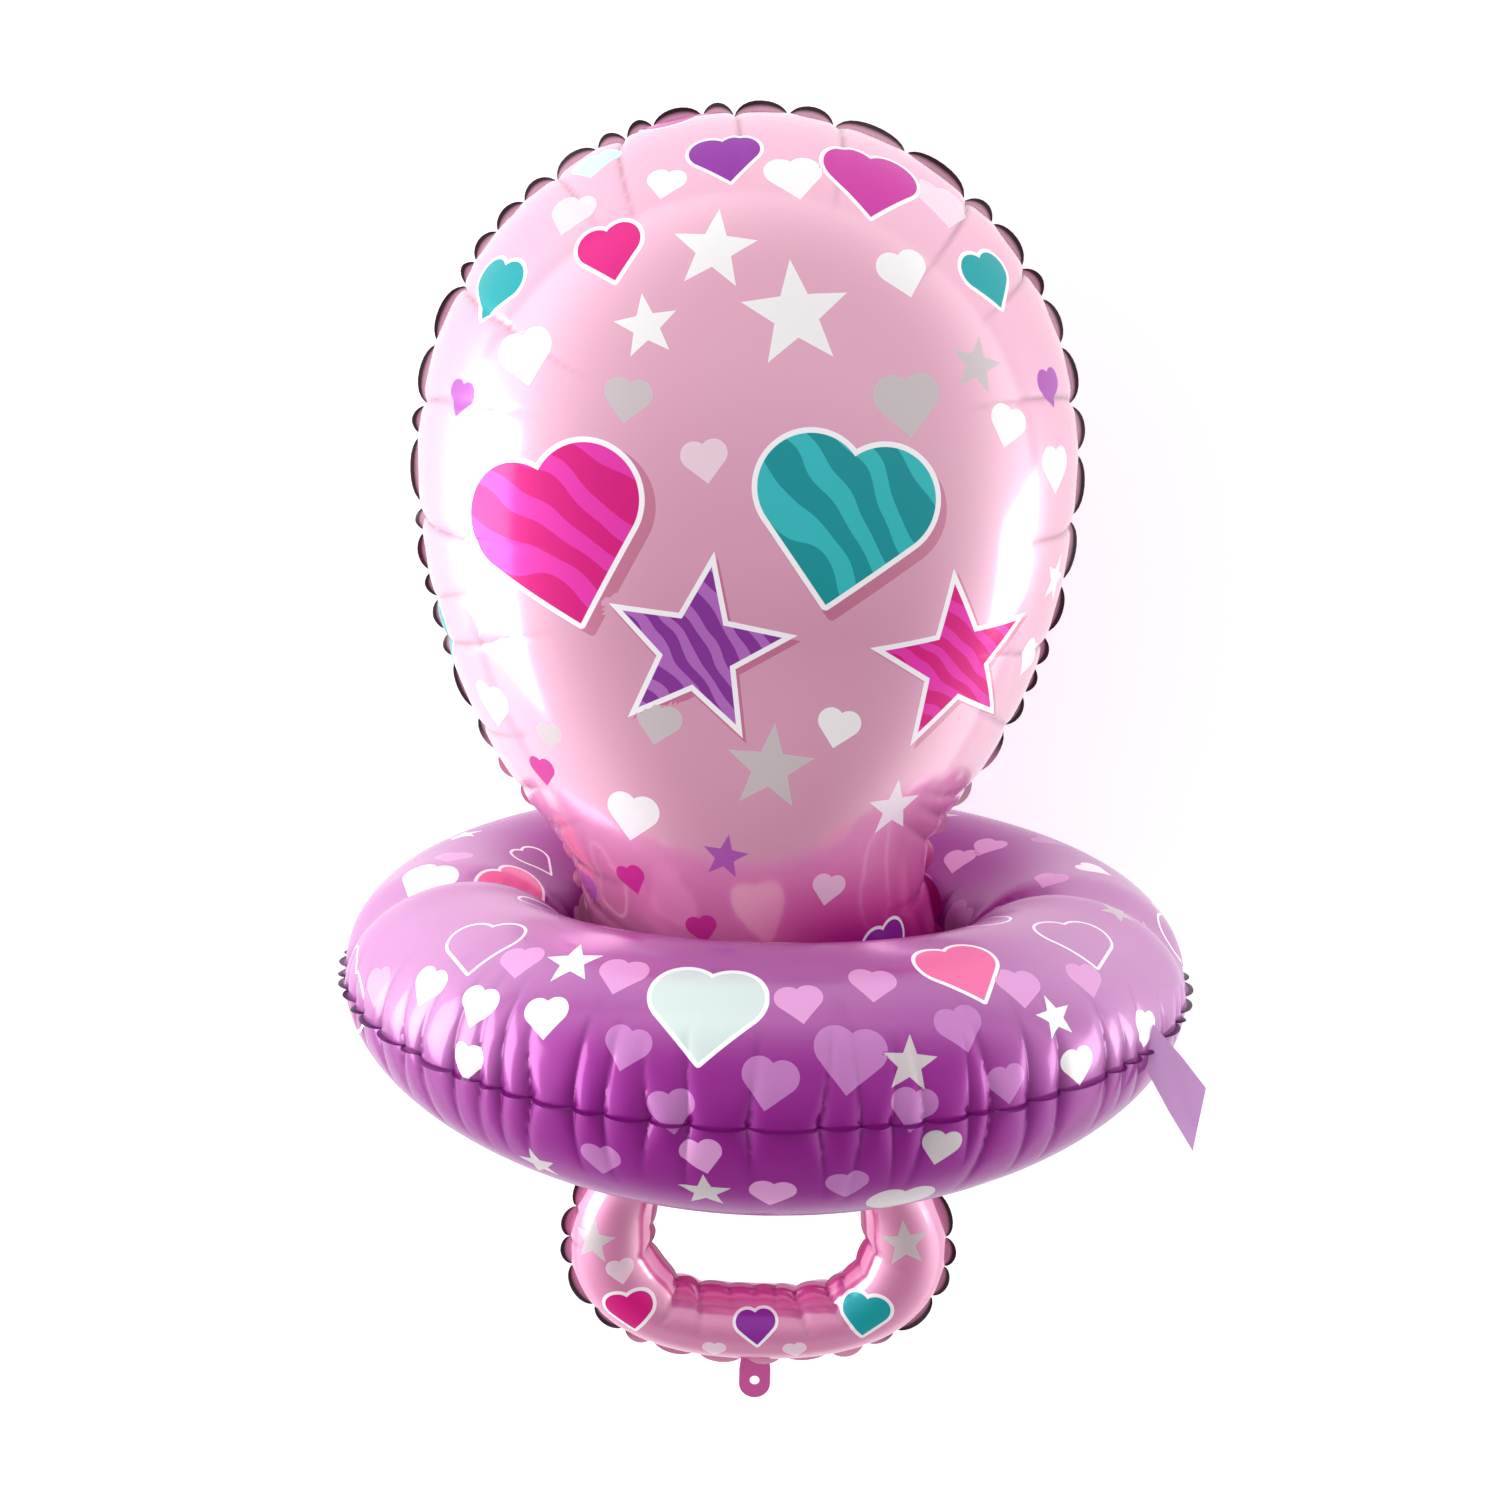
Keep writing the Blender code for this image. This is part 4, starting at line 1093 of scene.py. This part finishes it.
# Ink colour, its strength over the foil, width of its white line in metres, and whether it has stripes and
# a shadow
INKS = {
    # On the pink balloon 'white' and 'silver' motifs stand for one silver foil: 'white' where it catches
    # bright light, 'silver' where it reflects dark, a painted reflection
    "silver": ((0.62, 0.55, 0.57), 1.0, 0.0, 0.0),
    "white": ((0.95, 0.92, 0.93), 1.0, 0.0, 0.0),
    "veil": ((0.95, 0.80, 0.88), 0.75, 0.0, 0.0),
    "mint": ((0.60, 0.90, 0.82), 1.0, 0.0, 0.0),
    "magenta": ((0.72, 0.002, 0.22), 1.0, 0.0024, 0.0),
    "violet": ((0.60, 0.03, 0.36), 1.0, 0.0024, 0.0),
    "purple": ((0.28, 0.02, 0.36), 1.0, 0.0020, 0.0),
    "teal": ((0.001, 0.36, 0.39), 1.0, 0.0024, 0.0),
    "small magenta": ((0.60, 0.03, 0.30), 1.0, 0.0, 0.0),
    "small purple": ((0.44, 0.10, 0.46), 1.0, 0.0, 0.0),
    "magenta stripes": ((0.70, 0.002, 0.21), 1.0, 0.0030, 1.0),
    "purple stripes": ((0.25, 0.03, 0.32), 1.0, 0.0030, 1.0),
    "teal stripes": ((0.002, 0.30, 0.33), 1.0, 0.0030, 1.0),
    "line": ((0.5, 0.1, 0.5), 0.0, 0.0018, 0.0),
    "pale": ((0.78, 0.38, 0.70), 0.85, 0.0, 0.0),
    "lilac": ((0.58, 0.24, 0.56), 0.8, 0.0, 0.0),
    "pink": ((0.88, 0.18, 0.40), 1.0, 0.0022, 0.0),
    "silver line": ((0.64, 0.75, 0.72), 1.0, 0.0024, 0.0),
}
HEART = 1.0
STAR = 2.0
HEART_SPAN = 1.2072
HEART_MIDDLE = 0.55
STAR_SPAN = 1.902
STAR_WAIST = 0.42
NO_MOTIF = 9.0
MOTIF_MARGIN = 0.008
MOTIF_REACH = 0.016
HIDDEN_BY = 0.004
SCATTER_TRIES = 6000
SCATTER_SIZE = (0.9, 1.1)
SCATTER_TILT = (-25.0, 25.0)

# Motifs on the pink balloon by kind and ink: place in the picture, width in millimetres, clockwise tilt
# The 'white' and 'silver' motifs here are one silver foil, lighter where it catches the light: a painted
# reflection
PINK_MOTIFS = (
    (HEART, "mint", ((594, 164, 32, -20),)),
    (HEART, "veil", ((570, 215, 30, 10), (944, 205, 39, 12), (493, 706, 32, 20), (828, 890, 21, 8),
        (621, 1272, 19, -10), (714, 1350, 16, 6), (795, 1351, 16, -8), (705, 462, 26, -8))),
    (HEART, "white", ((665, 184, 23, 8), (525, 358, 35, -10), (795, 178, 33, -8), (904, 274, 30, -14),
        (1008, 427, 26, 12), (1056, 470, 30, -8), (1028, 658, 25, 15), (838, 729, 25, 12),
        (632, 818, 32, 14))),
    (HEART, "magenta", ((610, 253, 37, -14), (630, 1313, 32, -6))),
    (HEART, "teal", ((494, 289, 40, 16), (990, 280, 37, -16), (865, 1317, 32, 8))),
    (HEART, "purple", ((726, 158, 40, -10), (756, 1328, 26, -4))),
    (HEART, "small purple", ((461, 399, 23, 20), (1050, 388, 25, -16), (590, 888, 23, 14),
        (943, 829, 23, 10))),
    (HEART, "violet", ((872, 182, 56, 12),)),
    (HEART, "silver", ((627, 401, 27, 10), (908, 406, 38, -8), (658, 725, 26, 14), (549, 737, 18, 10))),
    (STAR, "white", ((714, 249, 46, 6), (646, 326, 35, -8), (796, 314, 58, -6), (1055, 579, 30, 4),
        (482, 612, 32, -6), (894, 808, 35, -8))),
    (STAR, "silver", ((977, 365, 32, 8), (770, 768, 49, 6), (593, 1241, 30, 8), (905, 1244, 32, -6))),
    (STAR, "small purple", ((725, 857, 26, 10),)),
    (HEART, "small magenta", ((632, 880, 21, -6), (702, 930, 19, -8), (543, 772, 21, 12))),
    (HEART, "magenta stripes", ((556, 540, 106, -12),)),
    (STAR, "purple stripes", ((698, 650, 90, 10),)),
    (HEART, "teal stripes", ((842, 524, 100, 10),)),
    (STAR, "magenta stripes", ((958, 662, 88, -14),)),
)
# Motifs on the ring, in the same form
RING_MOTIFS = (
    (HEART, "line", ((480, 945, 46, -12), (1081, 941, 48, 14), (536, 860, 30, -6))),
    (STAR, "white", ((573, 962, 32, -6), (1055, 1017, 25, -8), (463, 835, 26, 8))),
    (HEART, "pale", ((520, 962, 26, -10), (621, 976, 28, 8), (800, 1004, 26, -6), (873, 985, 26, 10),
        (376, 987, 26, -10), (1020, 988, 28, 10), (1087, 980, 25, 8), (702, 1158, 23, -8),
        (772, 1195, 25, 6), (452, 857, 25, -8), (987, 847, 25, 8), (958, 861, 25, -8),
        (1049, 879, 23, 8), (1011, 820, 23, 8))),
    (HEART, "silver line", ((705, 1012, 60, 4),)),
    (HEART, "white", ((427, 987, 26, 10), (477, 1007, 26, 8), (545, 1018, 26, -8), (466, 1063, 23, 8),
        (1079, 1067, 23, -8), (1146, 1029, 23, 8), (424, 880, 39, 10), (1095, 869, 25, -10))),
    (HEART, "lilac", ((626, 1049, 26, 12), (671, 1113, 26, -8), (769, 1085, 30, 10),
        (850, 1061, 39, 8), (961, 1029, 28, -8), (914, 1111, 26, 8), (1008, 1085, 23, -8),
        (601, 1161, 23, 8), (847, 1186, 23, -6), (1049, 841, 23, -8))),
    (HEART, "pink", ((964, 970, 48, -10),)),
    (STAR, "silver", ((910, 1064, 30, 6), (705, 1192, 28, 4), (539, 1164, 25, 4), (1117, 912, 23, 8))),
    (HEART, "silver", ((941, 1149, 23, 8), (897, 1202, 39, -6))),
)
# Motifs strewn where the camera doesn't see, with widths in millimetres, and the room between them
PINK_SCATTER = (((HEART, 42, "magenta"), (HEART, 34, "silver"), (STAR, 46, "silver"), (HEART, 44, "teal"),
                 (HEART, 30, "veil"), (HEART, 40, "purple"), (STAR, 60, "silver"), (HEART, 48, "silver"),
                 (STAR, 34, "silver"), (HEART, 58, "violet")), 0.016)
RING_SCATTER = (((HEART, 30, "lilac"), (HEART, 32, "pale"), (STAR, 34, "silver"), (HEART, 30, "silver"),
                 (HEART, 52, "line"), (HEART, 44, "lilac"), (HEART, 28, "pale"), (HEART, 54, "pink"),
                 (STAR, 30, "silver"), (HEART, 46, "silver")), 0.010)


def length(a, b):
    """Length of a flat vector."""
    return np.sqrt(a * a + b * b)


def heart_distance(u, v):
    """Signed distance from a heart's edge, negative inside."""
    x = np.abs(u)
    y = v + HEART_MIDDLE
    lobes = length(x - 0.25, y - 0.75) - math.sqrt(2.0) / 4.0
    along = 0.5 * np.maximum(x + y, 0.0)
    side = np.minimum(length(x, y - 1.0), length(x - along, y - along)) * np.sign(x - y)
    return blend(x + y > 1.0, side, lobes)


def star_distance(u, v):
    """Distance outside a five-pointed star's nearest edge line, negative inside."""
    fold = math.pi / 5
    turn = fold - np.abs(np.mod(np.abs(np.arctan2(u, v)), 2 * fold) - fold)
    away = length(u, v)
    edge = (STAR_WAIST * math.sin(fold), STAR_WAIST * math.cos(fold) - 1.0)
    size = math.hypot(*edge)
    return away * np.sin(turn) * (-edge[1] / size) + (away * np.cos(turn) - 1.0) * (edge[0] / size)


class Skin:
    """A piece's faces in space, for placing motifs on them."""

    def __init__(self, piece, painted_shade, tone, flange_from):
        self.mesh = piece.data
        self.painted_shade = painted_shade
        self.tone = tone
        points = np.zeros(3 * len(self.mesh.vertices), np.float32)
        self.mesh.vertices.foreach_get("co", points)
        points = points.reshape(-1, 3).astype(float)
        faces = np.zeros(len(self.mesh.loops), np.int32)
        self.mesh.loops.foreach_get("vertex_index", faces)
        faces = faces.reshape(-1, 3)
        self.corners = points[faces]
        self.flange = faces.max(1) >= flange_from
        self.middle = self.corners.mean(1)
        one, two = (self.corners[:, k] - self.corners[:, 0] for k in (1, 2))
        normal = np.cross(one, two)
        self.area = np.linalg.norm(normal, axis=1) / 2
        self.normal = normal / np.maximum(2 * self.area, 1e-15)[:, None]
        self.tree = BVHTree.FromPolygons(points.tolist(), faces.tolist(), all_triangles=True)
        self.anchors = []
        self.place = np.zeros((len(faces), 3, 3))
        self.place[:, :, :2] = NO_MOTIF
        self.fill = np.zeros((len(faces), 4))
        self.line = np.zeros((len(faces), 3))
        self.best = np.full(len(faces), MOTIF_MARGIN)

    def print_at(self, spot, normal, up, kind, ink, size, tilt):
        """Lay one motif on the skin round a spot."""
        colour, strength, line, stripes = INKS[ink]
        unit = size / (HEART_SPAN if kind == HEART else STAR_SPAN)
        away = np.linalg.norm(self.middle - spot, axis=1)
        near = np.nonzero((away < 0.75 * size + MOTIF_REACH) & (self.normal @ normal > 0.0) & ~self.flange)[0]
        around = self.normal[near][away[near] < 0.3 * size]
        normal = around.mean(0) / np.linalg.norm(around.mean(0)) if len(around) else normal
        up = up - normal * (up @ normal)
        up = up / np.linalg.norm(up)
        right = np.cross(up, normal)
        c = math.cos(math.radians(tilt))
        s = math.sin(math.radians(tilt))

        def local(points):
            off = points - spot
            flat = off - (off @ normal)[..., None] * normal
            reach = np.linalg.norm(off, axis=-1) / np.maximum(np.linalg.norm(flat, axis=-1), 1e-9) / unit
            return (flat @ (right * c - up * s)) * reach, (flat @ (up * c + right * s)) * reach

        u, v = local(self.middle[near])
        distance = (heart_distance if kind == HEART else star_distance)(u, v) * unit - line
        take = (distance < self.best[near]) | (distance < 0.0)
        chosen = near[take]
        self.best[chosen] = distance[take]
        self.place[chosen, :, 0], self.place[chosen, :, 1] = local(self.corners[chosen])
        self.place[chosen, :, 2] = kind
        self.fill[chosen] = (*colour, strength)
        self.line[chosen] = (line / unit, stripes, stripes)
        self.anchors.append((spot, size))

    def print_list(self, groups):
        """Lay the motifs that the picture shows."""
        start = Vector(lay_down(eye))
        for kind, ink, motifs in groups:
            for px, py, size, tilt in motifs:
                way = Vector(picture_way(px, py) @ LAY).normalized()
                spot, normal = self.tree.ray_cast(start, way)[:2]
                if spot is not None:
                    self.print_at(np.array(spot), np.array(normal), upward @ LAY, kind, ink,
                                  size / 1000.0, tilt)

    def scatter(self, kinds, room, others):
        """Strew motifs where the camera doesn't see."""
        start = Vector(lay_down(eye))
        along = np.array(ALONG)
        turn = 0
        for index in random.choice(len(self.middle), SCATTER_TRIES, p=self.area / self.area.sum()):
            spot = self.middle[index]
            kind, size, ink = kinds[turn % len(kinds)]
            size = size / 1000.0 * random.uniform(*SCATTER_SIZE)
            if self.flange[index]:
                continue
            if any(np.linalg.norm(spot - other) < 0.5 * (size + wide) + room for other, wide in self.anchors):
                continue
            way = Vector(spot) - start
            gaps = [skin.tree.ray_cast(start, way.normalized())[3] for skin in others]
            if not any(gap is not None and gap < way.length - HIDDEN_BY for gap in gaps):
                continue
            up = along if abs(self.normal[index] @ along) < 0.8 else np.array(FRONT)
            self.print_at(spot, self.normal[index], up, kind, ink, size, random.uniform(*SCATTER_TILT))
            turn += 1

    def keep(self):
        """Write the motifs to the mesh."""
        for name, kind, domain, field, values in (
                ("motif_place", "FLOAT_VECTOR", "CORNER", "vector", self.place),
                ("motif_fill", "FLOAT_COLOR", "FACE", "color", self.fill),
                ("motif_line", "FLOAT_VECTOR", "FACE", "vector", self.line),
                ("painted_shade", "FLOAT", "POINT", "value", self.painted_shade),
                ("tone", "FLOAT", "POINT", "value", self.tone)):
            layer = self.mesh.attributes.new(name, kind, domain)
            layer.data.foreach_set(field, values.astype(np.float32).ravel())


# ---------------------------------------------------------------- materials

SHADER_MATH = {"add": "ADD", "subtract": "SUBTRACT", "multiply": "MULTIPLY", "remainder": "MODULO",
               "greater": "GREATER_THAN", "less": "LESS_THAN", "minimum": "MINIMUM", "maximum": "MAXIMUM",
               "absolute": "ABSOLUTE", "sign": "SIGN", "sqrt": "SQRT", "sin": "SINE", "cos": "COSINE",
               "arctan2": "ARCTAN2"}


class Value(np.lib.mixins.NDArrayOperatorsMixin):
    """A number in a node tree. Signs and numpy's functions add a math node for each step."""

    def __init__(self, nodes, socket):
        self.nodes = nodes
        self.socket = socket

    def __array_ufunc__(self, step, method, *values):
        node = self.nodes.new("Math", operation=SHADER_MATH[step.__name__])
        for socket, value in zip(node.inputs, values):
            self.nodes.put(socket, value)
        return Value(self.nodes, node.outputs[0])


class Nodes:
    """Short hand for a tree of nodes."""

    def __init__(self, tree):
        self.tree = tree

    def put(self, socket, value):
        """Link a value to a socket, or set the socket to it."""
        if isinstance(value, Value):
            self.tree.links.new(value.socket, socket)
        else:
            socket.default_value = value

    def new(self, kind, inputs=None, **settings):
        """A node with its inputs and settings."""
        node = self.tree.nodes.new("ShaderNode" + kind)
        for name, value in settings.items():
            setattr(node, name, value)
        for name, value in (inputs or {}).items():
            self.put(node.inputs[name], value)
        return node

    def out(self, node, name=0):
        """A node's output as a value."""
        return Value(self, node.outputs[name])

    def attribute(self, name, output):
        return self.out(self.new("Attribute", attribute_name=name), output)

    def split(self, name):
        """The three numbers of a vector attribute."""
        node = self.new("SeparateXYZ", {0: self.attribute(name, "Vector")})
        return [self.out(node, k) for k in range(3)]

    def mix(self, share, a, b):
        """A colour, a where share is 0 and b where it is 1."""
        return self.out(self.new("Mix", {0: share, 6: a, 7: b}, data_type="RGBA"), 2)


def material(name, settings):
    """A new material, its nodes and its shader with some inputs set."""
    made = bpy.data.materials.new(name)
    made.use_nodes = True
    shader = made.node_tree.nodes["Principled BSDF"]
    nodes = Nodes(made.node_tree)
    for socket, value in settings.items():
        nodes.put(shader.inputs[socket], value)
    return made, nodes, shader


FOIL_METAL = 0.30
FOIL_ROUGHNESS = 0.26
FOIL_SPECULAR = 0.15
INK_METAL = 0.25
INK_COAT = 0.08
COAT_IOR = 3.2
COAT_ROUGHNESS = 0.14
LINE_COLOUR = (1.0, 0.97, 1.0, 1.0)
STRIPE_GAMMA = 0.55
STRIPE_FROM = 0.56
STRIPES = {"Scale": 1.55, "Distortion": 5.5, "Detail": 1.0, "Detail Scale": 0.9}
SHADOW_OFFSET = (-0.055, 0.06)
WRINKLE_DETAIL = 3.0
WRINKLES = {"Strength": 0.25, "Distance": 0.0012}


def foil(name, colour, tone_colour, painted_shade_colour, shadow_colour, coat, tone_coat, wrinkle):
    """Metallised printed foil, with painted light and shade mixed into its colour."""
    made, nodes, shader = material(name, {
        "Specular IOR Level": FOIL_SPECULAR, "Roughness": FOIL_ROUGHNESS, "Coat IOR": COAT_IOR,
        "Coat Roughness": COAT_ROUGHNESS})
    u, v, kind = nodes.split("motif_place")
    line, stripes, shadow = nodes.split("motif_line")
    ink = nodes.attribute("motif_fill", "Color")
    strength = nodes.attribute("motif_fill", "Alpha")
    # Painted shade: the flanges' dark reflection, darker fold lines in the creases and shade at the neck's
    # foot
    painted_shade = nodes.attribute("painted_shade", "Fac")
    # tone: painted light on the ring; on the pink balloon, painted shade at the neck's foot and beside the
    # opening, and a deeper colour on the handle and tab
    tone = nodes.attribute("tone", "Fac")
    is_star = kind > (HEART + STAR) / 2

    def distance(u, v):
        return blend(is_star, heart_distance(u, v), star_distance(u, v))

    within = distance(u, v)
    filled = within < 0.0
    lined = within < line
    shade = (distance(u + SHADOW_OFFSET[0], v + SHADOW_OFFSET[1]) < line) * shadow

    wave = nodes.new("TexWave", {"Vector": nodes.attribute("motif_place", "Vector"), **STRIPES},
                     wave_type="BANDS", bands_direction="DIAGONAL")
    band = (nodes.out(wave, "Fac") > STRIPE_FROM) * stripes
    lighter = nodes.out(nodes.new("Gamma", {"Color": ink, "Gamma": STRIPE_GAMMA}))
    base = nodes.mix(tone, (*colour, 1.0), (*tone_colour, 1.0))
    base = nodes.mix(painted_shade, base, (*painted_shade_colour, 1.0))
    base = nodes.mix(shade, base, (*shadow_colour, 1.0))
    inside_colour = nodes.mix(strength, base, nodes.mix(band, ink, lighter))
    outside_colour = nodes.mix(lined, base, LINE_COLOUR)
    nodes.put(shader.inputs["Base Color"], nodes.mix(filled, outside_colour, inside_colour))
    inked = np.maximum(lined * np.maximum(strength, 1.0 - filled), painted_shade)
    nodes.put(shader.inputs["Metallic"], blend(inked, FOIL_METAL, INK_METAL))
    nodes.put(shader.inputs["Coat Weight"], blend(inked, blend(tone, coat, tone_coat), coat * INK_COAT))

    place = nodes.out(nodes.new("TexCoord"), "Object")
    noise = nodes.new("TexNoise", {"Vector": place, "Scale": wrinkle, "Detail": WRINKLE_DETAIL})
    bump = nodes.new("Bump", {"Height": nodes.out(noise, "Fac"), **WRINKLES})
    nodes.put(shader.inputs["Normal"], nodes.out(bump, "Normal"))
    return made


def plain(name, colour, metallic, roughness, **more):
    """A material of one colour."""
    return material(name, {"Base Color": (*colour, 1.0), "Metallic": metallic, "Roughness": roughness,
                           **more})[0]


# ---------------------------------------------------------------- assembly

pink_points, pink_faces, *pink_marks = build_pink()
pink = make_piece("pink_foil_skin", pink_points, pink_faces)
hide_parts("pacifier_balloon")
ring_points, ring_faces, *ring_marks = build_ring()
ring = make_piece("ring_foil_skin", ring_points, ring_faces)
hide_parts("shield_ring")
tail = make_piece("ring_tab_end", *build_tail())
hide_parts("shield_ring")

skins = (Skin(pink, *pink_marks), Skin(ring, *ring_marks))
for skin, motifs in zip(skins, (PINK_MOTIFS, RING_MOTIFS)):
    skin.print_list(motifs)
for skin, motifs in zip(skins, (PINK_SCATTER, RING_SCATTER)):
    skin.scatter(*motifs, skins)
    skin.keep()
for piece in (pink, ring, tail):
    print(piece.name, len(piece.data.polygons), "faces")

# Pink foil: its colour, a deeper colour for painted shade, near black for the painted edge and crease shade,
# the print's shadow
pink.data.materials.append(foil("pink_foil", (0.80, 0.28, 0.48), (0.74, 0.004, 0.36), (0.03, 0.01, 0.02),
                               (0.60, 0.05, 0.22), 1.0, 0.05, 38.0))
# Purple foil: a deep colour, a paler colour for painted light, near black for the painted edge shade, the
# print's shadow
ring.data.materials.append(foil("purple_foil", (0.29, 0.004, 0.26), (0.74, 0.40, 0.68), (0.04, 0.005, 0.05),
                               (0.2, 0.01, 0.2), 0.10, 0.45, 42.0))
tail.data.materials.append(plain("tab_film", (0.66, 0.34, 0.68), 0.2, 0.3))

# ---------------------------------------------------------------- floor and light

FLOOR_COLOUR = (0.93, 0.93, 0.93)
FLOOR_GLOW = 0.40
FLOOR_REACH = 6.0
FLOOR_DROP = 0.0002
WHITE = (1.0, 1.0, 1.0, 1.0)
SKY_BESIDE = 1.8
SKY_FACING = 0.74
SKY_BELOW = 0.28
BRIGHT_SIDE = 0.20
FACING_FROM_TO = (0.2, 0.97)
DARK_WAY = (0.0, -0.5, -0.866)
DARK_FROM_TO = (0.20, 1.00)
# Place and aim of each soft light in metres, its width and height, and watts
LIGHTS = {
    "left_window": ((-1.45, 0.15, 0.50), (0.0, 0.15, 0.30), 1.1, 0.9, 13.0),
    "right_window": ((1.45, -0.05, 0.35), (0.0, 0.0, 0.25), 0.5, 0.6, 3.0),
}

corners = [(x * FLOOR_REACH, y * FLOOR_REACH, 0.0) for x, y in ((-1, -1), (1, -1), (1, 1), (-1, 1))]
floor_mesh = bpy.data.meshes.new("floor")
floor_mesh.from_pydata(corners, [], [(0, 1, 2, 3)])
floor = bpy.data.objects.new("floor", floor_mesh)
bpy.context.scene.collection.objects.link(floor)
floor.location.z = -FLOOR_DROP
floor_mesh.materials.append(plain("floor", FLOOR_COLOUR, 0.0, 0.6,
                                  **{"Emission Color": WHITE, "Emission Strength": FLOOR_GLOW}))

world = bpy.data.worlds.new("studio")
bpy.context.scene.world = world
world.use_nodes = True
sky = Nodes(world.node_tree)
background = world.node_tree.nodes["Background"]
direction = sky.out(sky.new("TexCoord"), "Generated")


def along(way, span, at_low, at_high):
    """A brightness that eases from one value to another with the sky's direction."""
    dot = sky.new("VectorMath", {0: direction, 1: tuple(way)}, operation="DOT_PRODUCT")
    share = sky.new("MapRange", {"Value": sky.out(dot, "Value"), "From Min": span[0], "From Max": span[1],
                                 "To Min": at_low, "To Max": at_high}, interpolation_type="SMOOTHSTEP")
    return sky.out(share, "Result")


facing = along((BRIGHT_SIDE * across - ahead) @ LAY, FACING_FROM_TO, SKY_BESIDE, SKY_FACING)
below = along(np.array(DARK_WAY) @ LAY, DARK_FROM_TO, 1.0, SKY_BELOW)
sky.put(background.inputs["Strength"], facing * below)
background.inputs["Color"].default_value = WHITE

for name, (place, aim, wide, high, watts) in LIGHTS.items():
    data = bpy.data.lights.new(name, "AREA")
    data.shape = "RECTANGLE"
    data.size = wide
    data.size_y = high
    data.energy = watts
    lamp = bpy.data.objects.new(name, data)
    bpy.context.scene.collection.objects.link(lamp)
    lamp.location = place
    lamp.rotation_mode = "QUATERNION"
    lamp.rotation_quaternion = (Vector(aim) - Vector(place)).to_track_quat("-Z", "Y")

bpy.context.scene.view_settings.view_transform = "Standard"
